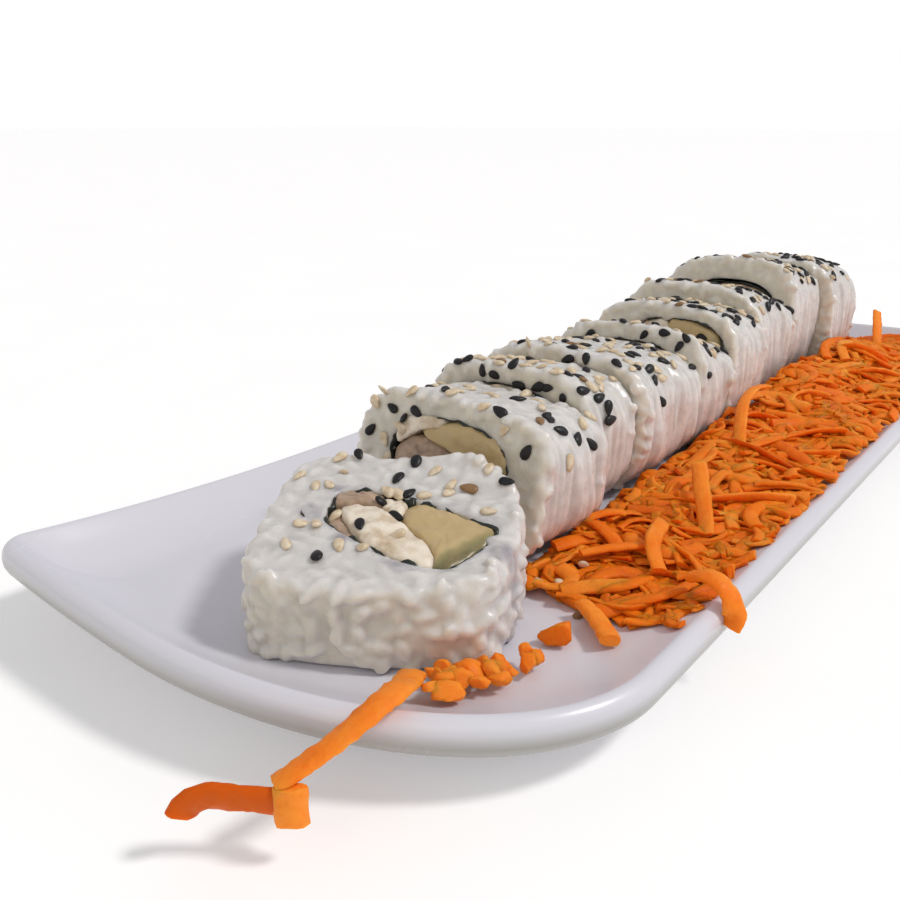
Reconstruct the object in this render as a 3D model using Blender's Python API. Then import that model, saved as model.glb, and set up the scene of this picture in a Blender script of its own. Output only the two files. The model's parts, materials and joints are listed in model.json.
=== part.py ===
"""A row of chicken California roll slices on its oblong plate, with grated carrot.

Metres, +Z up. The origin is the middle of the foot of the plate, on the table. The plate's
long axis runs along Y and its near end, with the slice that lies flat, points to -Y.
"""
import math
import random

import bmesh
import bpy
from mathutils import Vector

MM = 0.001

# Plate, in millimetres.
HALF_WIDTH = 54.5
HALF_LENGTH = 144.6
END_X = -10.0
END_RADIUS_X = 64.5
END_RADIUS_Y = 43.0
TIP_RADIUS = 7.0
TIP_DROP = 1.6
WELL_Z = 8.0
RIM_Z = 12.4
TIP_LIFT = 3.4
FOOT_INSET = 21.0
WELL_INSET = 16.0
RIM_INSET = 2.6
WELL_CURVE = 2.3

# Row of slices, in millimetres.
GAP = 0.35
FILLING_GAP = 0.5
ROW_X = -2.5
RING_WIDTH = 28.0
RING_HEIGHT = 19.0
RING_POWER = 2.6
NORI = 0.9
SIDES = 20
RICE_UNEVEN = 0.045
FLOOR = WELL_Z + GAP

# Each slice's cut front starts at this y on the plate and leans back by this slope.
FRONT_FOOT = (-83.2, -56.5, -39.5, -14.5, 9.0, 34.0, 59.5, 86.5, 113.5)
FRONT_LEAN = (0.18, 0.02, 0.06, 0.34, 0.22, 0.12, 0.18, 0.10, 0.04)
# Each standing slice: width, height in front, fall of its top towards the back, x offset, turn
# in degrees, shift and lift of the seaweed ring, then the angle, cut, split and hand of its
# filling. The slices lean back on each other, so their tops fall and the next ring peeps out.
STANDING = (
    (45.0, 29.6, 4.0, 1.8, 2.0, 0.0, 0.8, -39, -0.63, 0.14, -1),
    (42.5, 30.6, 3.0, -0.6, -1.0, -1.0, 1.6, -80, -0.45, 0.10, 1),
    (43.5, 31.0, 4.6, 0.5, 1.0, 0.0, 0.8, 75, -0.10, 0.15, 1),
    (42.5, 31.0, 6.5, 0.5, -2.0, 1.0, 2.0, -80, -0.30, -0.10, 1),
    (43.0, 32.6, 3.0, 0.0, 1.5, 3.6, 3.4, 20, 0.00, -0.25, -1),
    (42.0, 35.0, 5.5, -2.0, -1.5, 0.0, 0.8, 80, 0.10, 0.00, 1),
    (42.5, 37.6, 4.0, -2.5, 2.0, 1.0, 3.2, 30, 0.00, 0.20, 1),
    (41.5, 34.5, 3.0, 2.0, -2.0, 0.0, 0.8, 60, -0.10, 0.10, 1),
)
RICE_POWER = 3.3

# Shreds that show on the heap of grated carrot.
SHREDS = 40

# The slice that lies with its cut face up. Its ring has a shift across and up, a stretch each
# way and a turn of its own. Each corner is an angle, a spread and how much the outline shrinks.
LYING_CENTRE = (7.5, -104.8)
LYING_SIZE = (43.7, 38.8)
LYING_TURN = 28.0
LYING_TOP = 24.6
LYING_TILT = 0.17
LYING_RING = (2.3, -2.1, 1.10, 1.02, -6.0)
LYING_FILLING = (47, -0.05, -0.12, 1)
LYING_POWER = 4.6
LYING_CORNERS = ((-42.0, 26.0, 0.10), (139.0, 20.0, -0.05), (40.0, 26.0, 0.15))

# Sesame seeds that are half sunk in the rice.
SEED_LENGTH = 3.2
SEED_WIDTH = 1.96
SEED_THICK = 1.24
SEED_TAPER = 0.32
SEED_PROUD = 0.16
SEED_APART = 3.3
SEEDS_LYING = 13
SEEDS_STANDING = (11, 10, 12, 13, 13, 12, 13, 11)

RICE = (0.72, 0.70, 0.62)
NORI_GREEN = (0.012, 0.016, 0.012)
AVOCADO = (0.62, 0.58, 0.22)
CHEESE = (0.86, 0.82, 0.72)
CHICKEN = (0.62, 0.40, 0.27)
CARROT = (0.85, 0.27, 0.03)
GLAZE = (0.82, 0.82, 0.86)


def clear():
    for obj in list(bpy.data.objects):
        bpy.data.objects.remove(obj, do_unlink=True)


def collection(name):
    made = bpy.data.collections.new(name)
    bpy.context.scene.collection.children.link(made)
    return made


def material(name, colour, roughness):
    made = bpy.data.materials.new(name)
    made.use_nodes = True
    shader = made.node_tree.nodes["Principled BSDF"]
    shader.inputs["Base Color"].default_value = (*colour, 1.0)
    shader.inputs["Roughness"].default_value = roughness
    return made


def finish(mesh_data, name, group, colour, roughness):
    """The object of a bmesh whose points are in millimetres."""
    bmesh.ops.remove_doubles(mesh_data, verts=mesh_data.verts, dist=0.005)
    bmesh.ops.triangulate(mesh_data, faces=mesh_data.faces)
    bmesh.ops.recalc_face_normals(mesh_data, faces=mesh_data.faces)
    bmesh.ops.scale(mesh_data, vec=(MM, MM, MM), verts=mesh_data.verts)
    mesh = bpy.data.meshes.new(name)
    mesh_data.to_mesh(mesh)
    mesh_data.free()
    obj = bpy.data.objects.new(name, mesh)
    group.objects.link(obj)
    obj.data.materials.append(material("mat_" + name, colour, roughness))
    return obj


def wave(seed, size):
    """A smooth uneven function of an angle and a depth, of about the given size."""
    draw = random.Random(seed)
    terms = []
    for order in (2, 3, 5, 7):
        terms.append((order, draw.uniform(0, 6.28), draw.uniform(0, 6.28), draw.uniform(0.4, 1.0)))

    def value(angle, depth):
        total = 0.0
        for order, phase, shift, weight in terms:
            total += weight * math.sin(order * angle + phase + 2.4 * depth + shift) / len(terms)
        return size * total

    return value


def rounded(width, height, power, count=SIDES):
    """Points round a rounded rectangle centred on zero, anticlockwise."""
    points = []
    for step in range(count):
        angle = 2 * math.pi * step / count
        cosine = math.cos(angle)
        sine = math.sin(angle)
        across = math.copysign(abs(cosine) ** (2 / power), cosine)
        up = math.copysign(abs(sine) ** (2 / power), sine)
        points.append((width / 2 * across, height / 2 * up))
    return points


def loft(rings, closed_ends=True):
    """A bmesh through rings of equal numbers of points, with its ends filled."""
    mesh_data = bmesh.new()
    made = []
    for ring in rings:
        made.append([mesh_data.verts.new(point) for point in ring])
    count = len(made[0])
    for first, second in zip(made, made[1:]):
        for step in range(count):
            after = (step + 1) % count
            mesh_data.faces.new((first[step], first[after], second[after], second[step]))
    if closed_ends:
        mesh_data.faces.new(made[0])
        mesh_data.faces.new(list(reversed(made[-1])))
    return mesh_data


def looped(rings):
    """A bmesh through rings that follow each other round and close on the first."""
    return loft(rings + [rings[0]], closed_ends=False)


# Plate.


def plate_outline(inset):
    """The plate's outline moved inwards by inset, with the same number of points each time."""
    half = []
    reach_x = END_RADIUS_X - inset
    reach_y = END_RADIUS_Y - inset
    centre_y = -HALF_LENGTH + END_RADIUS_Y
    for step in range(13):
        angle = -math.pi / 2 * step / 12
        half.append((END_X + reach_x * math.cos(angle), centre_y + reach_y * math.sin(angle)))
    radius = max(TIP_RADIUS - inset, 1.0)
    corner_x = -HALF_WIDTH + inset + radius
    corner_y = -HALF_LENGTH + TIP_DROP + inset + radius
    for share in (0.35, 0.7):
        x = END_X + share * (corner_x - END_X)
        y = -HALF_LENGTH + inset + share * share * TIP_DROP
        half.append((x, y))
    for step in range(6):
        angle = -math.pi / 2 - math.pi / 2 * step / 5
        half.append((corner_x + radius * math.cos(angle), corner_y + radius * math.sin(angle)))
    for y in (-108.0, -74.0, -38.0, 0.0, 38.0, 70.0):
        half.append((-HALF_WIDTH + inset, y))
    return half + [(-x, -y) for x, y in half]


def rim_height(x, y):
    """The height of the top of the rim. The ends rise, and the two pointed corners rise most."""
    end = max(0.0, (abs(y) - 60.0) / 80.0)
    corner = 0.5 + 0.5 * x * math.copysign(1.0, y) / HALF_WIDTH
    return RIM_Z + end * end * (1.2 + TIP_LIFT * max(0.0, corner))


def well_height(inset, rim):
    """The height of the plate's upper face at this distance in from its edge."""
    if inset > WELL_INSET:
        return WELL_Z
    if inset > RIM_INSET:
        share = (WELL_INSET - inset) / (WELL_INSET - RIM_INSET)
        return WELL_Z + (rim - WELL_Z) * share ** WELL_CURVE
    return rim


def make_plate(group):
    profile = (
        ("foot", FOOT_INSET + 5.0, 0.0),
        ("foot", FOOT_INSET, 0.0),
        ("foot", FOOT_INSET - 1.2, 1.0),
        ("foot", FOOT_INSET - 2.0, 2.4),
        ("low", 8.0, 8.0),
        ("low", 1.6, 6.6),
        ("low", 0.3, 5.0),
        ("low", 0.0, 2.8),
        ("low", 0.5, 1.0),
        ("low", 1.6, 0.2),
        ("low", 2.8, 0.0),
        ("top", 4.6, 0.0),
        ("top", 7.5, 0.0),
        ("top", 11.0, 0.0),
        ("top", 16.5, 0.0),
        ("top", 30.0, 0.0),
    )
    rings = []
    for kind, inset, drop in profile:
        ring = []
        for (x, y), (rim_x, rim_y) in zip(plate_outline(inset), plate_outline(0.0)):
            rim = rim_height(rim_x, rim_y)
            if kind == "foot":
                z = drop
            elif kind == "low":
                z = rim - drop
            else:
                z = well_height(inset, rim)
            ring.append((x, y, z))
        rings.append(ring)
    return finish(loft(rings), "plate", group, GLAZE, 0.12)


# Slices.


def standing_frame(index):
    """A function from across, up and depth (0 front to 1 back) to millimetres."""
    height, fall, offset, turn = STANDING[index][1:5]
    near = FRONT_FOOT[index]
    far = FRONT_FOOT[index + 1] - 2 * GAP
    near_lean = FRONT_LEAN[index]
    far_lean = FRONT_LEAN[index + 1]
    swing = math.tan(math.radians(turn)) / 2

    def place(across, up, depth):
        high = up * (1 - fall / height * depth)
        front = near + near_lean * high
        back = far + far_lean * high
        y = front + (back - front) * depth + swing * across * (0.5 - depth)
        return (ROW_X + offset + across, y, FLOOR + high)

    return place


def lying_frame():
    """As standing_frame, for the slice that lies on its side: depth goes down into it."""
    turn = math.radians(LYING_TURN)
    cosine = math.cos(turn)
    sine = math.sin(turn)

    def place(across, up, depth):
        v = up - LYING_SIZE[1] / 2
        x = LYING_CENTRE[0] + across * cosine - v * sine
        y = LYING_CENTRE[1] + across * sine + v * cosine
        top = LYING_TOP + LYING_TILT * v
        return (x, y, top + (FLOOR - top) * depth)

    return place


def ring_frame(place, across_shift, up_shift, wide=1.0, tall=1.0, turn=0.0):
    """The frame of the filling inside a slice: moved, stretched and turned in the cut face."""
    cosine = math.cos(math.radians(turn))
    sine = math.sin(math.radians(turn))

    def ring_place(across, high, depth):
        x = across * wide
        y = high * tall
        return place(x * cosine - y * sine + across_shift, x * sine + y * cosine + up_shift, depth)

    return ring_place


def corner_growth(angle):
    """How much the lying slice's outline grows at an angle, for its round and sharp corners."""
    total = 1.0
    for middle, spread, amount in LYING_CORNERS:
        away = (math.degrees(angle) - middle + 180.0) % 360.0 - 180.0
        total -= amount * math.exp(-((away / spread) ** 2))
    return total


def make_rice(name, group, place, ring, size, seed, lying):
    """The rice: a rounded block with the hole that the seaweed goes through."""
    width, height = size
    uneven = wave(seed, RICE_UNEVEN)
    power = LYING_POWER if lying else RICE_POWER
    outer = []
    for depth, inset in ((0.0, 1.9), (0.07, 0.5), (0.36, -0.1), (0.68, 0.0), (0.93, 0.5), (1.0, 1.9)):
        band = []
        for across, high in rounded(width - 2 * inset, height - 2 * inset, power):
            angle = math.atan2(high, across)
            grow = 1 + uneven(angle, 3 * depth)
            if lying:
                grow *= corner_growth(angle)
            up = high * grow + height / 2
            if not lying:
                up = max(up, 0.0)
            band.append(place(across * grow, up, depth))
        outer.append(band)
    inner = []
    hole = rounded(RING_WIDTH + 2 * GAP, RING_HEIGHT + 2 * GAP, RING_POWER)
    for depth in (1.0, 0.0):
        inner.append([ring(across, high, depth) for across, high in hole])
    return finish(looped(outer + inner), name, group, RICE, 0.35)


def make_nori(name, group, ring):
    outer = rounded(RING_WIDTH, RING_HEIGHT, RING_POWER)
    inner = rounded(RING_WIDTH - 2 * NORI, RING_HEIGHT - 2 * NORI, RING_POWER)
    rings = []
    for points, depth in ((outer, 0.0), (outer, 1.0), (inner, 1.0), (inner, 0.0)):
        rings.append([ring(across, high, depth) for across, high in points])
    return finish(looped(rings), name, group, NORI_GREEN, 0.45)


def clip(points, normal, offset):
    """The part of a convex outline where the dot product with normal is at least offset."""
    kept = []
    for index, point in enumerate(points):
        after = points[(index + 1) % len(points)]
        here = point[0] * normal[0] + point[1] * normal[1] - offset
        there = after[0] * normal[0] + after[1] * normal[1] - offset
        if here >= 0:
            kept.append(point)
        if (here >= 0) != (there >= 0):
            share = here / (here - there)
            x = point[0] + share * (after[0] - point[0])
            y = point[1] + share * (after[1] - point[1])
            kept.append((x, y))
    return kept


def shares(angle, cut, split, hand):
    """Outlines of the cheese, the avocado and the chicken inside the seaweed."""
    inside = NORI + GAP
    space = rounded(RING_WIDTH - 2 * inside, RING_HEIGHT - 2 * inside, RING_POWER, 16)
    turn = math.radians(angle)
    along = (math.cos(turn), math.sin(turn))
    across = (hand * math.sin(turn), -hand * math.cos(turn))
    level = cut * RING_HEIGHT / 2
    side = split * RING_WIDTH / 2
    back = (-along[0], -along[1])
    other = (-across[0], -across[1])
    cheese = clip(space, back, -level + FILLING_GAP / 2)
    rest = clip(space, along, level + FILLING_GAP / 2)
    avocado = clip(rest, across, side + FILLING_GAP / 2)
    chicken = clip(rest, other, -side + FILLING_GAP / 2)
    return cheese, avocado, chicken


def make_filling(name, group, ring, outline, colour, roughness, proud):
    rings = []
    for depth in (proud, 0.5, 1.0):
        rings.append([ring(across, high, depth) for across, high in outline])
    return finish(loft(rings), name, group, colour, roughness)


def surface_spots(obj, draw, count, wanted, allowed):
    """Random spaced points and normals, on faces that wanted accepts, where allowed agrees."""
    faces = []
    total = 0.0
    for polygon in obj.data.polygons:
        if wanted(polygon.center / MM, polygon.normal):
            total += polygon.area
            faces.append((total, polygon))
    spots = []
    tries = 0
    while len(spots) < count and tries < 4000:
        tries += 1
        pick = draw.uniform(0, total)
        polygon = next(face for edge, face in faces if edge >= pick)
        corners = [obj.data.vertices[v].co / MM for v in polygon.vertices]
        first = draw.random()
        second = draw.random()
        if first + second > 1:
            first = 1 - first
            second = 1 - second
        point = corners[0] + first * (corners[1] - corners[0]) + second * (corners[2] - corners[0])
        if allowed(point) and all((point - other).length > SEED_APART for other, _ in spots):
            spots.append((point, polygon.normal.copy()))
    return spots


def seed_solid(point, normal, turn, group, name):
    """One sesame seed, pointed at one end, half sunk in the surface."""
    mesh_data = bmesh.new()
    bmesh.ops.create_icosphere(mesh_data, subdivisions=1, radius=0.5)
    side = normal.orthogonal().normalized()
    side = (side * math.cos(turn) + normal.cross(side) * math.sin(turn)).normalized()
    third = normal.cross(side)
    for vertex in mesh_data.verts:
        x, y, z = vertex.co
        taper = 1 - 2 * SEED_TAPER * x
        spot = side * (SEED_LENGTH * x) + third * (SEED_WIDTH * taper * y)
        vertex.co = point + normal * (SEED_PROUD + SEED_THICK * taper * z) + spot
    return finish(mesh_data, name, group, RICE, 0.4)


def fuse(obj, helpers):
    """Unites obj with each object of the helpers collection, then removes the helpers."""
    modifier = obj.modifiers.new("fuse", "BOOLEAN")
    modifier.operation = "UNION"
    modifier.operand_type = "COLLECTION"
    modifier.collection = helpers
    modifier.solver = "MANIFOLD"
    graph = bpy.context.evaluated_depsgraph_get()
    mesh = bpy.data.meshes.new_from_object(obj.evaluated_get(graph), depsgraph=graph)
    obj.modifiers.clear()
    slot = obj.data.materials[0]
    obj.data = mesh
    mesh.materials.clear()
    mesh.materials.append(slot)
    for helper in list(helpers.objects):
        bpy.data.objects.remove(helper, do_unlink=True)
    bpy.data.collections.remove(helpers)
    keep_largest(obj)


def keep_largest(obj):
    """Drops loose scraps and leaves the biggest joined-up piece."""
    mesh_data = bmesh.new()
    mesh_data.from_mesh(obj.data)
    bmesh.ops.remove_doubles(mesh_data, verts=mesh_data.verts, dist=0.00001)
    groups = []
    left = set(mesh_data.verts)
    while left:
        start = left.pop()
        group = {start}
        queue = [start]
        while queue:
            vertex = queue.pop()
            for edge in vertex.link_edges:
                other = edge.other_vert(vertex)
                if other in left:
                    left.discard(other)
                    group.add(other)
                    queue.append(other)
        groups.append(group)
    groups.sort(key=len, reverse=True)
    for group in groups[1:]:
        bmesh.ops.delete(mesh_data, geom=list(group), context="VERTS")
    bmesh.ops.triangulate(mesh_data, faces=mesh_data.faces)
    mesh_data.to_mesh(obj.data)
    mesh_data.free()


def helper_collection(name):
    made = collection(name)
    made.hide_render = True
    return made


def add_seeds(obj, number, wanted, allowed, draw):
    helpers = helper_collection("helpers_" + obj.name)
    for index, (point, normal) in enumerate(surface_spots(obj, draw, number, wanted, allowed)):
        helper = seed_solid(point, normal, draw.uniform(0, 6.28), helpers, "seed_%d" % index)
        helper.hide_render = True
        helper.display_type = "WIRE"
    fuse(obj, helpers)


def fillings(tag, group, ring, sharing):
    cheese, avocado, chicken = shares(*sharing)
    make_filling("cheese_" + tag, group, ring, cheese, CHEESE, 0.35, -0.012)
    make_filling("avocado_" + tag, group, ring, avocado, AVOCADO, 0.4, -0.006)
    make_filling("chicken_" + tag, group, ring, chicken, CHICKEN, 0.45, 0.02)


def lying_ring(place):
    across_shift, up_shift, wide, tall, turn = LYING_RING
    return ring_frame(place, across_shift, LYING_SIZE[1] / 2 + up_shift, wide, tall, turn)


def make_lying(group):
    place = lying_frame()
    ring = lying_ring(place)
    rice = make_rice("rice_1", group, place, ring, LYING_SIZE, 11, True)
    make_nori("nori_1", group, ring)
    fillings("1", group, ring, LYING_FILLING)
    return rice


def make_standing(index, group):
    place = standing_frame(index)
    size = STANDING[index][:2]
    shift, lift = STANDING[index][5:7]
    tag = str(index + 2)
    ring = ring_frame(place, shift, size[1] / 2 + lift)
    rice = make_rice("rice_" + tag, group, place, ring, size, 20 + index, False)
    make_nori("nori_" + tag, group, ring)
    fillings(tag, group, ring, STANDING[index][7:])
    return rice


# Carrot.


def edge_inset(x, y):
    """How far a point of the plate is from its right edge, its far end or its rounded near end."""
    inset = min(HALF_WIDTH - x, HALF_LENGTH - TIP_DROP - y)
    if y < -HALF_LENGTH + END_RADIUS_Y and x > END_X:
        across = (x - END_X) / END_RADIUS_X
        down = (y + HALF_LENGTH - END_RADIUS_Y) / END_RADIUS_Y
        inset = min(inset, (1 - math.hypot(across, down)) * 48.0)
    return inset


def floor_at(x, y):
    """The height of the plate's upper face, a little above it."""
    rim = rim_height(HALF_WIDTH, max(abs(y), 80.0) if y > 0 else y)
    return well_height(max(edge_inset(x, y), RIM_INSET), rim) + GAP


def heap_top(x, y):
    """The height of the smooth heart of the heap of shreds."""
    side = (x - 19.5) / 30.0
    if side < 0 or side > 1:
        return 0.0
    start = max(0.0, min(1.0, (y + 84.0) / 110.0))
    end = max(0.0, min(1.0, (131.0 - y) / 16.0))
    swell = 0.85 + 0.25 * math.sin(y / 11.0) * math.sin(x / 7.0 + y / 23.0)
    across = (1 - side ** 2.2) * 0.8 + 0.2
    return (1.6 + 9.6 * start) * end ** 0.5 * swell * across


def heap_core(name, group):
    rings = []
    for step in range(27):
        y = -81.0 + step * 210.0 / 26
        taper = min(1.0, (step + 0.6) / 3, (26.6 - step) / 2)
        near = 21.4 + 3.0 * (1 - taper)
        far = near + (26.5 + 2.0 * math.sin(step * 1.3)) * (0.35 + 0.65 * taper)
        ring = []
        for share in (0.0, 0.33, 0.66, 1.0):
            x = near + share * (far - near)
            ring.append((x, y, floor_at(x, y) + (0.35 if x > 36.0 else 0.05)))
        for share in (0.97, 0.72, 0.48, 0.24, 0.02):
            x = near + share * (far - near)
            high = max(1.0, heap_top(x, y) * (0.4 + 0.6 * taper))
            if share > 0.9:
                high = 1.0
            ring.append((x, y, floor_at(x, y) + high))
        rings.append(ring)
    return finish(loft(rings), name, group, CARROT, 0.4)


def strip_solid(points, width, thick, name, group, twist=0.0, taper=0.6):
    """A bent shred through the points, four-sided, narrower at its ends."""
    path = [Vector(point) for point in points]
    rings = []
    count = len(path)
    for index, point in enumerate(path):
        before = path[max(index - 1, 0)]
        after = path[min(index + 1, count - 1)]
        along = (after - before).normalized()
        if index == 0:
            side = along.cross(Vector((0, 0, 1)))
        side = (side - along * side.dot(along)).normalized()
        top = side.cross(along).normalized()
        turn = twist * index / max(count - 1, 1)
        flat = side * math.cos(turn) + top * math.sin(turn)
        high = top * math.cos(turn) - side * math.sin(turn)
        share = taper if index in (0, count - 1) else 1.0
        a = flat * width / 2 * share
        b = high * thick / 2 * share
        rings.append([point - a - b, point + a - b, point + a + b, point - a + b])
    return finish(loft(rings), name, group, CARROT, 0.4)


def heap_strips(helpers, draw):
    for index in range(SHREDS):
        y = -77.0 + 201.0 * (index + draw.uniform(0.0, 0.9)) / SHREDS
        x = draw.uniform(23.5, 44.0)
        top = floor_at(x, y) + max(0.6, heap_top(x, y))
        length = draw.uniform(9.0, 19.0)
        heading = draw.uniform(-0.7, 1.7)
        bend = draw.uniform(-0.5, 0.5)
        width = draw.uniform(2.0, 3.4)
        thick = draw.uniform(1.3, 1.9)
        lift = draw.uniform(-0.4, 0.6)
        tilt = draw.uniform(-0.5, 1.3)
        points = []
        for share in (-0.5, 0.0, 0.5):
            angle = heading + bend * share * 2
            px = x + math.cos(angle) * length * share
            py = y + math.sin(angle) * length * share
            px = max(21.4, min(48.0, px))
            py = max(-77.0, min(127.0, py))
            pz = top + lift + tilt * share * 2
            low = floor_at(px, py) + thick / 2 + 0.9
            points.append((px, py, max(low, pz)))
        strip_solid(points, width, thick, "strip_%d" % index, helpers, draw.uniform(-0.5, 0.5))


def make_heap(group):
    heap = heap_core("carrot_heap", group)
    helpers = helper_collection("helpers_heap")
    heap_strips(helpers, random.Random(5))
    notable = (
        ((31.5, -37.5, 18.6), (34.5, -42.5, 16.6), (37.5, -47.5, 14.2), (40.0, -52.0, 12.0)),
        ((24.5, 21.0, 21.0), (24.0, 10.0, 21.5), (26.5, -2.0, 19.2), (31.0, -13.0, 15.0)),
        ((28.6, -86.0, 10.2), (31.0, -83.6, 10.4), (34.0, -81.0, 10.6), (37.5, -78.4, 10.8)),
        ((31.0, 104.0, 17.0), (29.0, 110.0, 21.0), (27.5, 114.0, 24.0), (26.5, 117.0, 26.0)),
    )
    for index, points in enumerate(notable):
        strip_solid(points, 3.4, 2.0, "notable_%d" % index, helpers, 0.3)
    for helper in helpers.objects:
        helper.hide_render = True
        helper.display_type = "WIRE"
    fuse(heap, helpers)
    return heap


def lump_solid(centre, size, seed, name, group):
    """A small uneven chunk of carrot that stands on its flat side."""
    draw = random.Random(seed)
    mesh_data = bmesh.new()
    bmesh.ops.create_icosphere(mesh_data, subdivisions=1, radius=1.0)
    for vertex in mesh_data.verts:
        spread = draw.uniform(0.8, 1.15)
        x = centre[0] + vertex.co.x * size[0] * spread
        y = centre[1] + vertex.co.y * size[1] * spread
        z = centre[2] + max(vertex.co.z, -0.6) * size[2]
        vertex.co = (x, y, z)
    return finish(mesh_data, name, group, CARROT, 0.45)


def make_loose_carrot(group):
    z = floor_at(32.0, -121.0) + 0.3
    bits = lump_solid((31.6, -119.0, z + 1.5), (2.5, 2.3, 2.2), 3, "carrot_bits", group)
    helpers = helper_collection("helpers_bits")
    spots = (
        (33.2, -115.4, 2.7, 2.6, 1.9),
        (34.4, -111.6, 2.3, 2.6, 2.1),
        (36.2, -107.8, 2.4, 2.4, 1.7),
        (35.0, -121.4, 2.4, 1.8, 1.7),
        (30.6, -116.2, 1.8, 2.2, 2.4),
    )
    for index, (x, y, wide, deep, high) in enumerate(spots):
        centre = (x, y, floor_at(x + 1.0, y - 1.0) + 0.6 * high + 0.35)
        helper = lump_solid(centre, (wide, deep, high), 40 + index, "bit_%d" % index, helpers)
        helper.hide_render = True
        helper.display_type = "WIRE"
    fuse(bits, helpers)
    z = floor_at(37.0, -97.5) + 0.2
    lump_solid((35.2, -97.5, z + 1.75), (3.2, 2.6, 2.4), 9, "carrot_chunk", group)
    stick = ((42.6, -94.4, z + 1.9), (39.6, -91.6, z + 1.9), (36.8, -89.4, z + 2.0), (34.0, -87.6, z + 2.2))
    strip_solid(stick, 3.6, 2.2, "carrot_stick", group, 0.2, 0.8)


def make_long_shred(group):
    """The shred that starts beside the first slice, crosses the rim and ends on the table."""
    points = (
        (25.5, -121.7, 11.4),
        (28.6, -127.0, 14.1),
        (31.1, -131.3, 16.8),
        (31.4, -136.4, 16.4),
        (29.8, -141.2, 13.6),
        (28.2, -145.0, 11.4),
        (27.2, -148.2, 8.8),
        (20.2, -152.2, 7.8),
        (13.2, -154.8, 6.4),
    )
    strip_solid(points, 3.8, 2.4, "carrot_long_shred", group, 0.5, 0.7)


def make_rim_shred(group):
    """The shred that hangs over the plate's near long edge."""
    points = (
        (47.4, -70.8, 15.0),
        (50.4, -73.6, 15.8),
        (54.0, -76.6, 15.0),
        (57.0, -78.4, 12.0),
        (57.3, -78.6, 8.0),
    )
    strip_solid(points, 3.6, 1.9, "carrot_rim_shred", group, 0.2, 0.75)


def main():
    clear()
    dish = collection("chicken_california_roll")
    make_plate(dish)
    draw = random.Random(77)
    lying = make_lying(dish)
    rices = [make_standing(index, dish) for index in range(len(STANDING))]

    hole = rounded(RING_WIDTH + 5.0, RING_HEIGHT + 5.0, RING_POWER)
    ring = lying_ring(lying_frame())
    rim = [Vector(ring(across, high, 0.0)) for across, high in hole]
    middle = Vector(ring(0.0, 0.0, 0.0))

    def cut_face(centre, normal):
        return normal.z > 0.85

    def standing_top(centre, normal):
        return normal.z > 0.5 and centre.z > 28

    def off_ring(point):
        near = min(rim, key=lambda corner: (corner - point).length)
        return (point - middle).length > (near - middle).length

    add_seeds(lying, SEEDS_LYING, cut_face, off_ring, draw)
    for index, (rice, number) in enumerate(zip(rices, SEEDS_STANDING)):
        place = standing_frame(index)

        def well_in(point):
            up = point.z - FLOOR
            front = place(0.0, up, 0.0)[1] + 2.6
            back = FRONT_FOOT[index + 1] + FRONT_LEAN[index + 1] * up - 3.0
            return front < point.y < back

        add_seeds(rice, number, standing_top, well_in, draw)
    make_heap(dish)
    make_loose_carrot(dish)
    make_long_shred(dish)
    make_rim_shred(dish)


main()
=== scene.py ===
"""A row of chicken California roll slices with grated carrot, on an oblong glazed plate.

Lengths in the tables are millimetres. Pieces are made in millimetres and settled into metres.
"""
import json
import math
import random

import bmesh
import bpy
import numpy as np
from mathutils import Euler, Matrix, Vector, noise
from mathutils.bvhtree import BVHTree

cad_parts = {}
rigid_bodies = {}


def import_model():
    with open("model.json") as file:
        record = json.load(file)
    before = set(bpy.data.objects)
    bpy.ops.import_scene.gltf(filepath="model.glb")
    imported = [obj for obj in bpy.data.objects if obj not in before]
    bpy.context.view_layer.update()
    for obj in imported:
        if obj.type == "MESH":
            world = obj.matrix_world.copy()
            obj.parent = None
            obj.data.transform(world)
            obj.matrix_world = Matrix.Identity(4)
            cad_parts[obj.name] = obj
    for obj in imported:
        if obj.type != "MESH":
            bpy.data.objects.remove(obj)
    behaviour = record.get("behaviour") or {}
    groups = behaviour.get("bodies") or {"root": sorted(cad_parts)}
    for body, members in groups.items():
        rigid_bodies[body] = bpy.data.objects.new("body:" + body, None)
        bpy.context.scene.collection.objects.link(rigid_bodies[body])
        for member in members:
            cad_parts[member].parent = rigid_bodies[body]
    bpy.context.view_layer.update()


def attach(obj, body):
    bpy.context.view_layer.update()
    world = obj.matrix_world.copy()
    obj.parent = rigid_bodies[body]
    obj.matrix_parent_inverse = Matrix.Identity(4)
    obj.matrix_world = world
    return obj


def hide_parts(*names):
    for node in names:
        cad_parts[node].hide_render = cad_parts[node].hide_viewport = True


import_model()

bl_info = {
    "name": "California roll platter",
    "version": (1, 0, 0),
    "blender": (4, 5, 0),
    "location": "3D View > Sidebar > Roll platter",
    "description": "Makes a row of inside-out roll slices, their fillings, seeds, carrot and plate",
    "category": "Add Mesh",
}

MM = 0.001
BODY = "root"

# Plate.
HALF_WIDTH = 54.5
HALF_LENGTH = 144.6
END_X = -10.0
END_RADIUS_X = 64.5
END_RADIUS_Y = 43.0
TIP_RADIUS = 7.0
TIP_DROP = 1.6
WELL_Z = 8.0
RIM_Z = 12.4
TIP_LIFT = 3.4
FOOT_INSET = 21.0

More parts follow.
